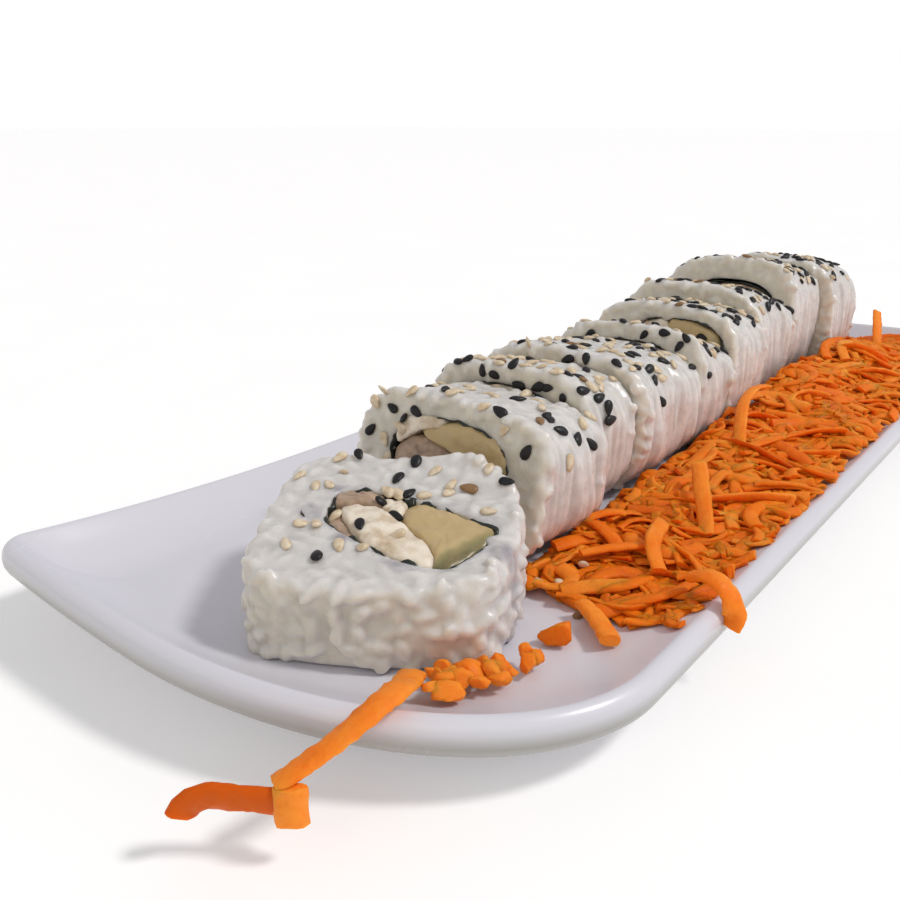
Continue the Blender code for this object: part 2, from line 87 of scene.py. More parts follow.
# Row of slices. Each standing slice has a width, a height in front, the fall of its top, an
# offset, a turn in degrees, the shift and lift of its ring, then the angle, cut, split and hand
# of its filling.
GAP = 0.35
ROW_X = -2.5
RING_WIDTH = 28.0
RING_HEIGHT = 19.0
RING_POWER = 2.6
FLOOR = WELL_Z + GAP
RICE_UNEVEN = 0.045
FRONT_FOOT = (-83.2, -56.5, -39.5, -14.5, 9.0, 34.0, 59.5, 86.5, 113.5)
FRONT_LEAN = (0.18, 0.02, 0.06, 0.34, 0.22, 0.12, 0.18, 0.10, 0.04)
STANDING = (
    (45.0, 29.6, 4.0, 1.8, 2.0, 0.0, 0.8, -39, -0.63, 0.14, -1),
    (42.5, 30.6, 3.0, -0.6, -1.0, -1.0, 1.6, -80, -0.45, 0.10, 1),
    (43.5, 31.0, 4.6, 0.5, 1.0, 0.0, 0.8, 75, -0.10, 0.15, 1),
    (42.5, 31.0, 6.5, 0.5, -2.0, 1.0, 2.0, -80, -0.30, -0.10, 1),
    (43.0, 32.6, 3.0, 0.0, 1.5, 3.6, 3.4, 20, 0.00, -0.25, -1),
    (42.0, 35.0, 5.5, -2.0, -1.5, 0.0, 0.8, 80, 0.10, 0.00, 1),
    (42.5, 37.6, 4.0, -2.5, 2.0, 1.0, 3.2, 30, 0.00, 0.20, 1),
    (41.5, 34.5, 3.0, 2.0, -2.0, 0.0, 0.8, 60, -0.10, 0.10, 1),
)
RICE_POWER = 3.3
LYING_CENTRE = (7.5, -104.8)
LYING_SIZE = (43.7, 38.8)
LYING_TURN = 28.0
LYING_TOP = 24.6
LYING_TILT = 0.17
LYING_RING = (2.3, -2.1, 1.10, 1.02, -6.0)
LYING_POWER = 4.6
LYING_CORNERS = ((-42.0, 26.0, 0.10), (139.0, 20.0, -0.05), (40.0, 26.0, 0.15))

# The seaweed and the fillings of the two front slices, in the frames of their rings.
LYING_OUTLINE = (
    (-13.6, 6.9), (-12.0, 8.7), (-7.9, 9.3), (-3.1, 8.5), (1.0, 7.6), (5.1, 6.6), (9.1, 5.1), (13.3, 3.2),
    (13.7, 0.9), (12.7, -2.1), (10.8, -5.8), (9.1, -8.7), (6.9, -9.2), (2.7, -8.5), (-0.4, -7.7),
    (-4.0, -6.0), (-7.0, -4.3), (-9.6, -3.1), (-11.8, -1.6), (-12.9, 0.6), (-13.3, 3.6),
)
LYING_CHEESE = (
    ((-11.2, 3.6), (-9.6, 5.5), (-6.4, 4.6), (-2.3, 2.4), (1.3, -0.6), (4.7, -3.8), (6.3, -6.3), (6.2, -8.7),
     (3.9, -8.6), (1.4, -7.9), (-2.1, -6.6), (-5.1, -4.8), (-7.4, -2.2), (-9.6, 0.6)),
    ((-5.6, 8.1), (-3.1, 8.4), (-1.7, 6.9), (-1.6, 3.1), (-3.6, 3.9), (-5.3, 5.2)),
)
LYING_AVOCADO = (
    ((-1.4, 4.6), (-1.2, 7.4), (1.0, 7.2), (5.1, 6.2), (9.1, 4.7), (12.9, 2.9), (13.2, 0.9), (12.3, -2.1),
     (10.4, -5.6), (8.8, -8.6), (6.8, -8.7), (6.6, -6.2), (5.0, -3.5), (1.6, -0.3), (-0.6, 1.8)),
)
LYING_CHICKEN = (
    ((-13.2, 6.9), (-11.8, 8.3), (-7.9, 8.9), (-5.8, 8.2), (-5.5, 5.4), (-8.6, 6.0), (-10.6, 4.6),
     (-12.6, 4.6)),
    ((-12.9, 3.6), (-11.4, 3.4), (-9.8, 0.4), (-7.5, -2.5), (-5.9, -4.6), (-9.4, -2.7), (-11.5, -1.3),
     (-12.5, 0.7)),
)
LEANING_CHEESE = (
    ((-13.2, 3.4), (-12.6, 6.2), (-10.6, 8.2), (-6.0, 9.0), (-1.8, 9.1), (-1.9, 7.7), (-7.4, 6.2),
     (-9.8, 4.4), (-12.6, 2.6)),
)
LEANING_AVOCADO = (
    ((-7.2, 6.0), (-2.7, 7.6), (0.8, 8.9), (5.8, 8.7), (10.6, 7.4), (13.2, 4.4), (13.6, 0.0), (12.4, -5.0),
     (8.0, -4.0), (6.0, 0.6), (3.0, 3.0), (-2.1, 4.4)),
)
LEANING_CHICKEN = (
    ((-13.0, 2.2), (-9.4, 4.1), (-5.0, 5.0), (-1.6, 4.0), (3.0, 2.4), (5.6, 0.2), (7.6, -4.6), (11.0, -6.8),
     (4.0, -8.9), (-5.0, -8.9), (-11.0, -7.2), (-13.4, -2.0)),
)

# Camera.
EYE = (97.5, -205.0, 86.0)
HEADING = 38.0
HORIZON_DROP = 330.0
IMAGE = 900.0
FOCAL = 900.0
SENSOR = 36.0


class Wire:
    """A number in a node tree. Signs used on it add Math nodes."""

    def __init__(self, tree, socket):
        self.tree = tree
        self.socket = socket

    def worked(self, operation, first, second, held=False):
        made = self.tree.nodes.new("ShaderNodeMath")
        made.operation = operation
        made.use_clamp = held
        for index, value in enumerate((first, second)):
            if isinstance(value, Wire):
                self.tree.links.new(value.socket, made.inputs[index])
            else:
                made.inputs[index].default_value = value
        return Wire(self.tree, made.outputs[0])

    def __add__(self, other):
        return self.worked("ADD", self, other)

    __radd__ = __add__

    def __sub__(self, other):
        return self.worked("SUBTRACT", self, other)

    def __rsub__(self, other):
        return self.worked("SUBTRACT", other, self)

    def __mul__(self, other):
        return self.worked("MULTIPLY", self, other)

    __rmul__ = __mul__

    def __truediv__(self, other):
        return self.worked("DIVIDE", self, other)

    def __rtruediv__(self, other):
        return self.worked("DIVIDE", other, self)

    def held(self):
        return self.worked("MULTIPLY", self, 1.0, held=True)


class Nodes:
    """A node tree being laid out."""

    def __init__(self, tree):
        self.tree = tree

    def put(self, socket, value):
        if isinstance(value, Wire):
            value = value.socket
        if isinstance(value, bpy.types.NodeSocket):
            self.tree.links.new(value, socket)
        else:
            socket.default_value = value

    def node(self, kind, settings=None, sockets=None):
        """Adds a node: its type, its settings, then values or links of its sockets."""
        made = self.tree.nodes.new(kind)
        for key, value in (settings or {}).items():
            if key == "stops":
                ramp = made.color_ramp
                while len(ramp.elements) < len(value):
                    ramp.elements.new(0.5)
                for stop, (place, colour) in zip(ramp.elements, value):
                    stop.position = place
                    stop.color = (*colour, 1.0)
            else:
                setattr(made, key, value)
        for key, value in (sockets or {}).items():
            self.put(made.inputs[key], value)
        return made

    def wire(self, node, output=0):
        return Wire(self.tree, node.outputs[output])


class Finish(Nodes):
    """The material of one kind of food or glaze, in Object coordinates."""

    def __init__(self, name, **constants):
        self.made = bpy.data.materials.new(name)
        self.made.use_nodes = True
        super().__init__(self.made.node_tree)
        self.shader = self.tree.nodes["Principled BSDF"]
        for key, value in constants.items():
            self.shader.inputs[key.replace("_", " ").title().replace("Ior", "IOR")].default_value = value
        self.coordinates = self.node("ShaderNodeTexCoord").outputs["Object"]

    def mapped(self, scale, turn=(0.0, 0.0, 0.0), centre=(0.0, 0.0, 0.0)):
        sockets = {"Vector": self.coordinates, "Scale": scale, "Rotation": turn, "Location": centre}
        return self.node("ShaderNodeMapping", None, sockets).outputs[0]

    def noise(self, size_mm, detail=2.0, roughness=0.5, stretch=(1.0, 1.0, 1.0), turn=(0.0, 0.0, 0.0)):
        """Cloudy noise whose patches are about size_mm across."""
        vector = self.mapped(stretch, turn)
        sockets = {"Vector": vector, "Scale": 1000.0 / size_mm, "Detail": detail, "Roughness": roughness}
        return self.wire(self.node("ShaderNodeTexNoise", None, sockets))

    def cells(self, size_mm, feature="F1"):
        sockets = {"Vector": self.coordinates, "Scale": 1000.0 / size_mm}
        return self.wire(self.node("ShaderNodeTexVoronoi", {"feature": feature}, sockets))

    def spread(self, value, low, high, start=0.0, end=1.0):
        """value from low to high, laid out from start to end and held there."""
        sockets = {"Value": value, "From Min": low, "From Max": high, "To Min": start, "To Max": end}
        return self.wire(self.node("ShaderNodeMapRange", {"clamp": True}, sockets))

    def ramp(self, value, *stops):
        return self.node("ShaderNodeValToRGB", {"stops": stops}, {"Fac": value}).outputs[0]

    def mix(self, share, first, second, blend="MIX"):
        sockets = {0: share}
        for index, value in ((6, first), (7, second)):
            sockets[index] = (*value, 1.0) if isinstance(value, tuple) else value
        settings = {"data_type": "RGBA", "blend_type": blend, "clamp_result": True}
        return self.node("ShaderNodeMix", settings, sockets).outputs[2]

    def bump(self, height, strength, distance_mm):
        sockets = {"Height": height, "Strength": strength, "Distance": distance_mm * MM}
        self.put(self.shader.inputs["Normal"], self.node("ShaderNodeBump", None, sockets).outputs[0])

    def colour(self, socket):
        self.put(self.shader.inputs["Base Color"], socket)

    def roughness(self, value):
        self.put(self.shader.inputs["Roughness"], value)

    def soft(self, weight, radius_mm, scale):
        """Light passes a little way into the food."""
        self.shader.subsurface_method = "RANDOM_WALK"
        self.shader.inputs["Subsurface Weight"].default_value = weight
        self.shader.inputs["Subsurface Radius"].default_value = scale
        self.shader.inputs["Subsurface Scale"].default_value = radius_mm * MM

    def attribute(self, name):
        return self.wire(self.node("ShaderNodeAttribute", {"attribute_name": name}), "Fac")


class Growth(Nodes):
    """A Geometry Nodes tree with a Geometry inlet, named inlets and one outlet."""

    def __init__(self, name, inlets):
        tree = bpy.data.node_groups.new(name, "GeometryNodeTree")
        super().__init__(tree)
        tree.interface.new_socket(name="Geometry", in_out="INPUT", socket_type="NodeSocketGeometry")
        for label, kind, value in inlets:
            made = tree.interface.new_socket(name=label, in_out="INPUT", socket_type="NodeSocket" + kind)
            if value is not None:
                made.default_value = value
        tree.interface.new_socket(name="Geometry", in_out="OUTPUT", socket_type="NodeSocketGeometry")
        self.entry = tree.nodes.new("NodeGroupInput")
        self.exit = tree.nodes.new("NodeGroupOutput")

    def inlet(self, name):
        return self.entry.outputs[name]

    def number(self, name):
        return Wire(self.tree, self.entry.outputs[name])

    def stored(self, name, kind="FLOAT"):
        return self.node("GeometryNodeInputNamedAttribute", {"data_type": kind}, {"Name": name}).outputs[0]

    def random(self, low, high, seed, vector=False):
        """A random number for each point, or a random vector where low and high are vectors."""
        if vector:
            made = self.node("FunctionNodeRandomValue", {"data_type": "FLOAT_VECTOR"}, {0: low, 1: high})
        else:
            made = self.node("FunctionNodeRandomValue", {"data_type": "FLOAT"}, {2: low, 3: high})
        self.put(made.inputs["Seed"], seed)
        return made.outputs[0] if vector else Wire(self.tree, made.outputs[1])

    def vector(self, x, y, z):
        return self.node("ShaderNodeCombineXYZ", None, {0: x, 1: y, 2: z}).outputs[0]

    def scaled(self, vector, factor):
        made = self.node("ShaderNodeVectorMath", {"operation": "SCALE"}, {0: vector})
        self.put(made.inputs["Scale"], factor)
        return made.outputs[0]

    def close(self, geometry):
        """Realizes what was made, gives it its material and ends the tree."""
        real = self.node("GeometryNodeRealizeInstances", None, {"Geometry": geometry})
        smooth = self.node("GeometryNodeSetShadeSmooth", None, {0: real.outputs[0]})
        sockets = {"Geometry": smooth.outputs[0], "Material": self.inlet("Material")}
        painted = self.node("GeometryNodeSetMaterial", None, sockets)
        self.put(self.exit.inputs[0], painted.outputs[0])
        return self.tree


# Finishes.


def glaze_finish(look):
    glaze = Finish("white glaze", roughness=0.3, coat_weight=0.18, coat_roughness=0.14, ior=1.5)
    tone = glaze.noise(38.0, 3.0)
    warm = tuple(0.97 * channel for channel in look.colour)
    body = glaze.mix(glaze.spread(tone, 0.3, 0.7), tuple(look.colour), warm)
    specks = glaze.spread(glaze.noise(2.6, 1.0), 0.815, 0.84)
    spotted = glaze.mix(specks * look.specks, body, (0.42, 0.35, 0.29))
    # Painted shade: the lower outer wall, the foot and the underside are darkened towards grey-brown, as if
    # in shadow under the plate.
    glaze.colour(glaze.mix(glaze.attribute("dull") * 0.8, spotted, (0.26, 0.25, 0.21)))
    glaze.roughness(glaze.spread(glaze.noise(40.0, 1.0), 0.2, 0.8, 0.25, 0.33))
    return glaze.made


def rice_finish(look):
    rice = Finish("pressed rice", roughness=0.36, coat_weight=0.3, coat_roughness=0.16, ior=1.42)
    rice.soft(0.85, 2.6, (1.0, 0.88, 0.76))
    pale = tuple(look.colour)
    grey = tuple(0.78 * channel for channel in look.colour)
    clouds = rice.mix(rice.spread(rice.noise(5.5, 3.0), 0.36, 0.66), pale, grey)
    starch = rice.spread(rice.cells(2.7), 0.15, 0.7)
    white = rice.mix(starch * 0.45, tuple(min(1.0, 1.16 * channel) for channel in look.colour), clouds)
    seeping = rice.spread(rice.attribute("stain") + rice.noise(3.0, 2.0) * 1.2 - 0.8, 0.1, 0.9)
    tinted = rice.mix(seeping * 0.8, white, tuple(look.seaweed_tint))
    # Painted warm light: sides that face the front are tinted yellowish, as if lit by warm light from the
    # camera side.
    rice.colour(rice.mix(rice.attribute("warm"), tinted, (1.0, 0.95, 0.8), "MULTIPLY"))
    rice.roughness(rice.spread(rice.noise(2.2, 2.0), 0.35, 0.65, 0.2, 0.52))
    streaks = rice.noise(1.8, 2.0, 0.5, (1.0, 1.0, 0.22))
    rice.bump(rice.noise(0.7, 2.0) * 0.35 + rice.noise(2.4, 1.0) * 0.8 + streaks * 0.6, 0.4, 0.3)
    return rice.made


def nori_finish(look):
    nori = Finish("damp seaweed", roughness=0.4, coat_weight=0.3, coat_roughness=0.25, ior=1.4)
    patches = nori.spread(nori.noise(2.4, 4.0, 0.6), 0.35, 0.7)
    nori.colour(nori.mix(patches, tuple(look.colour), tuple(2.4 * channel for channel in look.colour)))
    nori.roughness(nori.spread(nori.noise(1.1, 3.0), 0.3, 0.7, 0.32, 0.65))
    nori.bump(nori.noise(0.6, 3.0), 0.6, 0.2)
    return nori.made


def avocado_finish(look):
    flesh = Finish("ripe avocado", roughness=0.4, coat_weight=0.22, coat_roughness=0.2, ior=1.42)
    flesh.soft(0.2, 1.2, (1.0, 0.8, 0.4))
    rind = flesh.spread(flesh.attribute("skin") + flesh.noise(4.0, 2.0) * 0.36 - 0.18, 0.08, 0.95)
    stops = ((0.0, tuple(look.flesh)), (0.42, tuple(look.flesh)), (0.66, tuple(look.flesh_edge)))
    body = flesh.ramp(rind, *stops, (1.0, tuple(look.rind)))
    streaks = flesh.spread(flesh.noise(1.6, 3.0, 0.6, (1.0, 0.35, 1.0), (0.0, 0.0, 0.6)), 0.45, 0.75)
    flesh.colour(flesh.mix(streaks * 0.4, body, (0.42, 0.28, 0.12)))
    flesh.bump(flesh.noise(1.3, 3.0), 0.4, 0.25)
    return flesh.made


def cheese_finish(look):
    cheese = Finish("soft white cheese", roughness=0.42, coat_weight=0.2, coat_roughness=0.25, ior=1.42)
    cheese.soft(0.3, 1.4, (1.0, 0.9, 0.75))
    smears = cheese.spread(cheese.noise(2.8, 3.0), 0.42, 0.74)
    cheese.colour(cheese.mix(smears, tuple(look.cheese), tuple(look.cheese_smear)))
    cheese.bump(cheese.noise(1.4, 4.0, 0.6), 0.5, 0.3)
    return cheese.made


def chicken_finish(look):
    meat = Finish("cooked chicken", roughness=0.45, coat_weight=0.2, coat_roughness=0.25, ior=1.42)
    meat.soft(0.2, 1.2, (1.0, 0.7, 0.5))
    fibres = meat.noise(1.3, 4.0, 0.6, (0.3, 1.0, 0.6), (0.0, 0.0, 0.5))
    body = meat.mix(meat.spread(fibres, 0.38, 0.66), tuple(look.chicken), tuple(look.chicken_pale))
    seared = meat.spread(meat.noise(4.2, 2.0), 0.56, 0.72)
    meat.colour(meat.mix(seared * 0.7, body, (0.12, 0.07, 0.04)))
    meat.bump(fibres, 0.7, 0.35)
    return meat.made


def seed_finish(name, body, marked, coat):
    seed = Finish(name, roughness=0.5, coat_weight=coat, coat_roughness=0.2, specular_ior_level=0.3)
    seed.colour(seed.mix(seed.spread(seed.noise(1.1, 2.0), 0.35, 0.7), body, marked))
    seed.bump(seed.noise(0.35, 2.0), 0.3, 0.06)
    return seed.made


def carrot_finish(look):
    carrot = Finish("grated carrot", roughness=0.5, coat_weight=0.03, specular_ior_level=0.12)
    carrot.soft(0.55, 1.8, (1.0, 0.36, 0.06))
    pale = carrot.spread(carrot.attribute("tone") * 0.8 + carrot.noise(5.0, 3.0) * 0.9 - 0.4, 0.0, 1.0)
    deep = tuple(look.deep)
    body = carrot.ramp(pale, (0.0, deep), (0.45, tuple(look.colour)), (1.0, tuple(look.pale)))
    threads = carrot.spread(carrot.noise(0.9, 3.0, 0.6, (1.0, 0.3, 1.0), (0.0, 0.0, 0.4)), 0.45, 0.75)
    carrot.colour(carrot.mix(threads * 0.25, body, deep))
    carrot.roughness(carrot.spread(carrot.noise(1.6, 2.0), 0.3, 0.7, 0.38, 0.62))
    carrot.bump(carrot.noise(0.8, 3.0, 0.6), 0.6, 0.3)
    return carrot.made


# Geometry trees.


def grain_tree():
    """Presses grains of rice, lying every way, into the faces of a block."""
    grow = Growth(
        "Pressed grains",
        (
            ("Spacing", "Float", 2.4),
            ("Density", "Float", 0.3),
            ("Length", "Float", 5.6),
            ("Thickness", "Float", 2.5),
            ("Proud", "Float", 0.5),
            ("Tilt", "Float", 0.25),
            ("Seed", "Int", 1),
            ("Material", "Material", None),
        ),
    )
    cover = grow.stored("cover")
    sockets = {"Mesh": grow.inlet("Geometry"), "Distance Min": grow.inlet("Spacing")}
    scatter = grow.node("GeometryNodeDistributePointsOnFaces", {"distribute_method": "POISSON"}, sockets)
    grow.put(scatter.inputs["Density Max"], grow.inlet("Density"))
    grow.put(scatter.inputs["Density Factor"], cover)
    grow.put(scatter.inputs["Seed"], grow.inlet("Seed"))
    ball = grow.node("GeometryNodeMeshUVSphere", None, {"Segments": 8, "Rings": 6, "Radius": 0.5})
    thick = grow.number("Thickness")
    size = grow.vector(grow.inlet("Length"), thick, thick * 0.9)
    grain = grow.node("GeometryNodeTransform", None, {"Geometry": ball.outputs[0], "Scale": size})
    loose = Wire(grow.tree, grow.stored("loose"))
    lift = grow.number("Proud") - thick * 0.45 + loose * 0.55
    offset = grow.scaled(scatter.outputs["Normal"], lift)
    sunk = grow.node("GeometryNodeSetPosition", None, {"Geometry": scatter.outputs[0], "Offset": offset})
    tilt = grow.number("Tilt") * (1 + loose * 2.0)
    turn = grow.vector(
        grow.random(-1.0, 1.0, 11) * tilt, grow.random(-1.0, 1.0, 12) * tilt, grow.random(0.0, 6.283, 13)
    )
    aim = grow.node("FunctionNodeEulerToRotation", None, {0: turn})
    sockets = {0: scatter.outputs["Rotation"], 1: aim.outputs[0]}
    lying = grow.node("FunctionNodeRotateRotation", {"rotation_space": "LOCAL"}, sockets)
    sockets = {"Points": sunk.outputs[0], "Instance": grain.outputs[0], "Rotation": lying.outputs[0]}
    placed = grow.node("GeometryNodeInstanceOnPoints", None, sockets)
    grow.put(placed.inputs["Scale"], grow.random((0.8, 0.85, 0.85), (1.15, 1.15, 1.15), 14, True))
    joined = grow.node("GeometryNodeJoinGeometry")
    grow.put(joined.inputs[0], placed.outputs[0])
    grow.put(joined.inputs[0], grow.inlet("Geometry"))
    return grow.close(joined.outputs[0])


def seed_tree():
    """Sets a sesame seed, pointed at one end, on each point of a mesh."""
    grow = Growth(
        "Sesame",
        (
            ("Length", "Float", 3.2),
            ("Width", "Float", 1.9),
            ("Thickness", "Float", 1.0),
            ("Taper", "Float", 0.34),
            ("Material", "Material", None),
        ),
    )
    ball = grow.node("GeometryNodeMeshUVSphere", None, {"Segments": 10, "Rings": 7, "Radius": 1.0})
    apart = grow.node("ShaderNodeSeparateXYZ", None, {0: grow.node("GeometryNodeInputPosition").outputs[0]})
    along = Wire(grow.tree, apart.outputs[2])
    narrow = 1 - grow.number("Taper") * along
    shape = grow.vector(
        along * grow.number("Length") * 0.5,
        Wire(grow.tree, apart.outputs[0]) * narrow * grow.number("Width") * 0.5,
        Wire(grow.tree, apart.outputs[1]) * narrow * grow.number("Thickness") * 0.5,
    )
    seed = grow.node("GeometryNodeSetPosition", None, {"Geometry": ball.outputs[0], "Position": shape})
    aim = grow.node("FunctionNodeEulerToRotation", None, {0: grow.stored("aim", "FLOAT_VECTOR")})
    points = grow.node("GeometryNodeMeshToPoints", None, {0: grow.inlet("Geometry")})
    sockets = {"Points": points.outputs[0], "Instance": seed.outputs[0], "Rotation": aim.outputs[0]}
    placed = grow.node("GeometryNodeInstanceOnPoints", None, sockets)
    grow.put(placed.inputs["Scale"], grow.stored("size"))
    return grow.close(placed.outputs[0])


def shred_tree():
    """Runs a grated strip, uneven along its length, along each line of edges."""
    grow = Growth(
        "Grated strips",
        (
            ("Width", "Float", 2.4),
            ("Thickness", "Float", 1.3),
            ("Step", "Float", 1.3),
            ("Sides", "Int", 7),
            ("Rough", "Float", 0.35),
            ("Rough Size", "Float", 1.6),
            ("Material", "Material", None),
        ),
    )
    lines = grow.node("GeometryNodeMeshToCurve", None, {0: grow.inlet("Geometry")})
    smooth = grow.node("GeometryNodeCurveSplineType", {"spline_type": "CATMULL_ROM"}, {0: lines.outputs[0]})
    sockets = {"Curve": smooth.outputs[0], "Length": grow.inlet("Step")}
    even = grow.node("GeometryNodeResampleCurve", {"mode": "LENGTH"}, sockets)
    upright = grow.node("GeometryNodeSetCurveNormal", {"mode": "Z_UP"}, {0: even.outputs[0]})
    sockets = {"Curve": upright.outputs[0], "Tilt": grow.stored("roll")}
    tilted = grow.node("GeometryNodeSetCurveTilt", None, sockets)
    sockets = {"Curve": tilted.outputs[0], "Radius": grow.stored("wide")}
    sized = grow.node("GeometryNodeSetCurveRadius", None, sockets)
    sockets = {"Resolution": grow.inlet("Sides")}
    circle = grow.node("GeometryNodeCurvePrimitiveCircle", {"mode": "RADIUS"}, sockets)
    grow.put(circle.inputs["Radius"], 0.5)
    size = grow.vector(grow.inlet("Width"), grow.inlet("Thickness"), 1.0)
    flat = grow.node("GeometryNodeTransform", None, {"Geometry": circle.outputs[0], "Scale": size})
    sockets = {"Curve": sized.outputs[0], "Profile Curve": flat.outputs[0], "Fill Caps": True}
    strip = grow.node("GeometryNodeCurveToMesh", None, sockets)
    cloud = grow.node("ShaderNodeTexNoise", {"noise_dimensions": "3D"}, {"Detail": 2.0})
    grow.put(cloud.inputs["Scale"], 1 / grow.number("Rough Size"))
    centred = grow.node("ShaderNodeVectorMath", {"operation": "SUBTRACT"}, {0: cloud.outputs["Color"]})
    grow.put(centred.inputs[1], (0.5, 0.5, 0.5))
    shift = grow.scaled(centred.outputs[0], grow.number("Rough") * 2.0)
    ragged = grow.node("GeometryNodeSetPosition", None, {"Geometry": strip.outputs[0], "Offset": shift})
    return grow.close(ragged.outputs[0])


def grown(obj, tree, values):
    """Runs a Geometry Nodes tree on obj with these inlets, and keeps the result as its mesh."""
    modifier = obj.modifiers.new("grow", "NODES")
    modifier.node_group = tree
    for item in tree.interface.items_tree:
        if item.in_out == "INPUT" and item.name in values:
            modifier[item.identifier] = values[item.name]
    graph = bpy.context.evaluated_depsgraph_get()
    graph.update()
    mesh = bpy.data.meshes.new_from_object(obj.evaluated_get(graph), depsgraph=graph)
    obj.modifiers.clear()
    obj.data = mesh
    return obj


def kept(obj):
    """Turns the live modifiers of obj into its mesh."""
    graph = bpy.context.evaluated_depsgraph_get()
    graph.update()
    mesh = bpy.data.meshes.new_from_object(obj.evaluated_get(graph), depsgraph=graph)
    obj.modifiers.clear()
    obj.data = mesh
    return obj


# Shapes, in millimetres.


def from_data(name, points, faces, edges=()):
    mesh = bpy.data.meshes.new(name)
    mesh.from_pydata(points, list(edges), faces)
    mesh.update()
    obj = bpy.data.objects.new(name, mesh)
    bpy.context.scene.collection.objects.link(obj)
    return obj


def turned_out(obj):
    """Merges doubles and points every face outwards."""
    shell = bmesh.new()
    shell.from_mesh(obj.data)
    bmesh.ops.remove_doubles(shell, verts=shell.verts, dist=0.002)
    bmesh.ops.recalc_face_normals(shell, faces=shell.faces)
    shell.to_mesh(obj.data)
    shell.free()
    return obj


def settled(obj, nodes, finish=None):
    """Takes a finished piece into metres and gives it to the frame."""
    obj.data.transform(Matrix.Scale(MM, 4))
    obj.data.update()
    if finish is not None:
        obj.data.materials.clear()
        obj.data.materials.append(finish)
    obj.data.polygons.foreach_set("use_smooth", [True] * len(obj.data.polygons))
    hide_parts(*nodes)
    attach(obj, BODY)
    return obj


def lofted(rings, first_cap=True, last_cap=True, around=True):
    """Points and faces through rings of equal numbers of points."""
    points = [point for ring in rings for point in ring]
    count = len(rings[0])
    faces = []
    for level in range(len(rings) - 1):
        for step in range(count if around else count - 1):
            after = (step + 1) % count
            low = level * count
            faces.append((low + step, low + after, low + count + after, low + count + step))
    if first_cap:
        faces.append(tuple(reversed(range(count))))
    if last_cap:
        start = (len(rings) - 1) * count
        faces.append(tuple(range(start, start + count)))
    return points, faces


def rounded(width, height, power, count):
    """Points round a rounded rectangle centred on zero, anticlockwise."""
    points = []
    for step in range(count):
        angle = 2 * math.pi * step / count
        cosine = math.cos(angle)
        sine = math.sin(angle)
        across = math.copysign(abs(cosine) ** (2 / power), cosine)
        up = math.copysign(abs(sine) ** (2 / power), sine)
        points.append((width / 2 * across, height / 2 * up))
    return points


def wave(seed, size):
    """A smooth uneven function of an angle and a depth, of about the given size."""
    draw = random.Random(seed)
    terms = []
    for order in (2, 3, 5, 7):
        terms.append((order, draw.uniform(0, 6.28), draw.uniform(0, 6.28), draw.uniform(0.4, 1.0)))

    def value(angle, depth):
        total = 0.0
        for order, phase, shift, weight in terms:
            total += weight * math.sin(order * angle + phase + 2.4 * depth + shift) / len(terms)
        return size * total

    return value


def plate_outline(inset, fine=6):
    """The plate's outline moved inwards by inset, with the same number of points each time."""
    half = []
    reach_x = END_RADIUS_X - inset
    reach_y = END_RADIUS_Y - inset
    centre_y = -HALF_LENGTH + END_RADIUS_Y
    turns = 12 * fine
    for step in range(turns + 1):
        angle = -math.pi / 2 * step / turns
        half.append((END_X + reach_x * math.cos(angle), centre_y + reach_y * math.sin(angle)))
    radius = max(TIP_RADIUS - inset, 1.0)
    corner_x = -HALF_WIDTH + inset + radius
    corner_y = -HALF_LENGTH + TIP_DROP + inset + radius
    for step in range(1, 2 * fine):
        share = step / (2 * fine)
        x = END_X + share * (corner_x - END_X)
        half.append((x, -HALF_LENGTH + inset + share * share * TIP_DROP))
    for step in range(3 * fine + 1):
        angle = -math.pi / 2 - math.pi / 2 * step / (3 * fine)
        half.append((corner_x + radius * math.cos(angle), corner_y + radius * math.sin(angle)))
    straight = 8 * fine
    top_y = HALF_LENGTH - END_RADIUS_Y
    for step in range(1, straight):
        half.append((-HALF_WIDTH + inset, corner_y + (top_y - corner_y) * step / straight))
    return half + [(-x, -y) for x, y in half]


def rim_height(x, y):
    """The height of the top of the rim. The ends rise, and the two pointed corners rise most."""
    end = max(0.0, (abs(y) - 60.0) / 80.0)
    corner = 0.5 + 0.5 * x * math.copysign(1.0, y) / HALF_WIDTH
    return RIM_Z + end * end * (1.2 + TIP_LIFT * max(0.0, corner))


def well_height(inset, rim):
    """The height of the plate's upper face at this distance in from its edge."""
    rise = rim - WELL_Z
    if inset > 17.0:
        return WELL_Z
    if inset > 2.6:
        return WELL_Z + rise * ((17.0 - inset) / 14.4) ** 2.0
    return rim


def edge_inset(x, y):
    """How far a point of the plate is from its right edge, its far end or its rounded near end."""
    inset = min(HALF_WIDTH - x, HALF_LENGTH - TIP_DROP - y)
    if y < -HALF_LENGTH + END_RADIUS_Y and x > END_X:
        across = (x - END_X) / END_RADIUS_X
        down = (y + HALF_LENGTH - END_RADIUS_Y) / END_RADIUS_Y
        inset = min(inset, (1 - math.hypot(across, down)) * 48.0)
    return inset


def floor_at(x, y):
    """The height of the plate's upper face, a little above it."""
    rim = rim_height(HALF_WIDTH, max(abs(y), 80.0) if y > 0 else y)
    return well_height(max(edge_inset(x, y), 2.6), rim) + GAP


def heap_top(x, y):
    """The height of the smooth heart of the heap of shreds."""
    side = (x - 19.5) / 30.0
    if side < 0 or side > 1:
        return 0.0
    start = max(0.0, min(1.0, (y + 84.0) / 110.0))
    end = max(0.0, min(1.0, (131.0 - y) / 16.0))
    swell = 0.85 + 0.25 * math.sin(y / 11.0) * math.sin(x / 7.0 + y / 23.0)
    across = (1 - side ** 2.2) * 0.8 + 0.2
    return (1.6 + 9.6 * start) * end ** 0.5 * swell * across


# Frames of the slices: from across, up and depth in millimetres to a place.


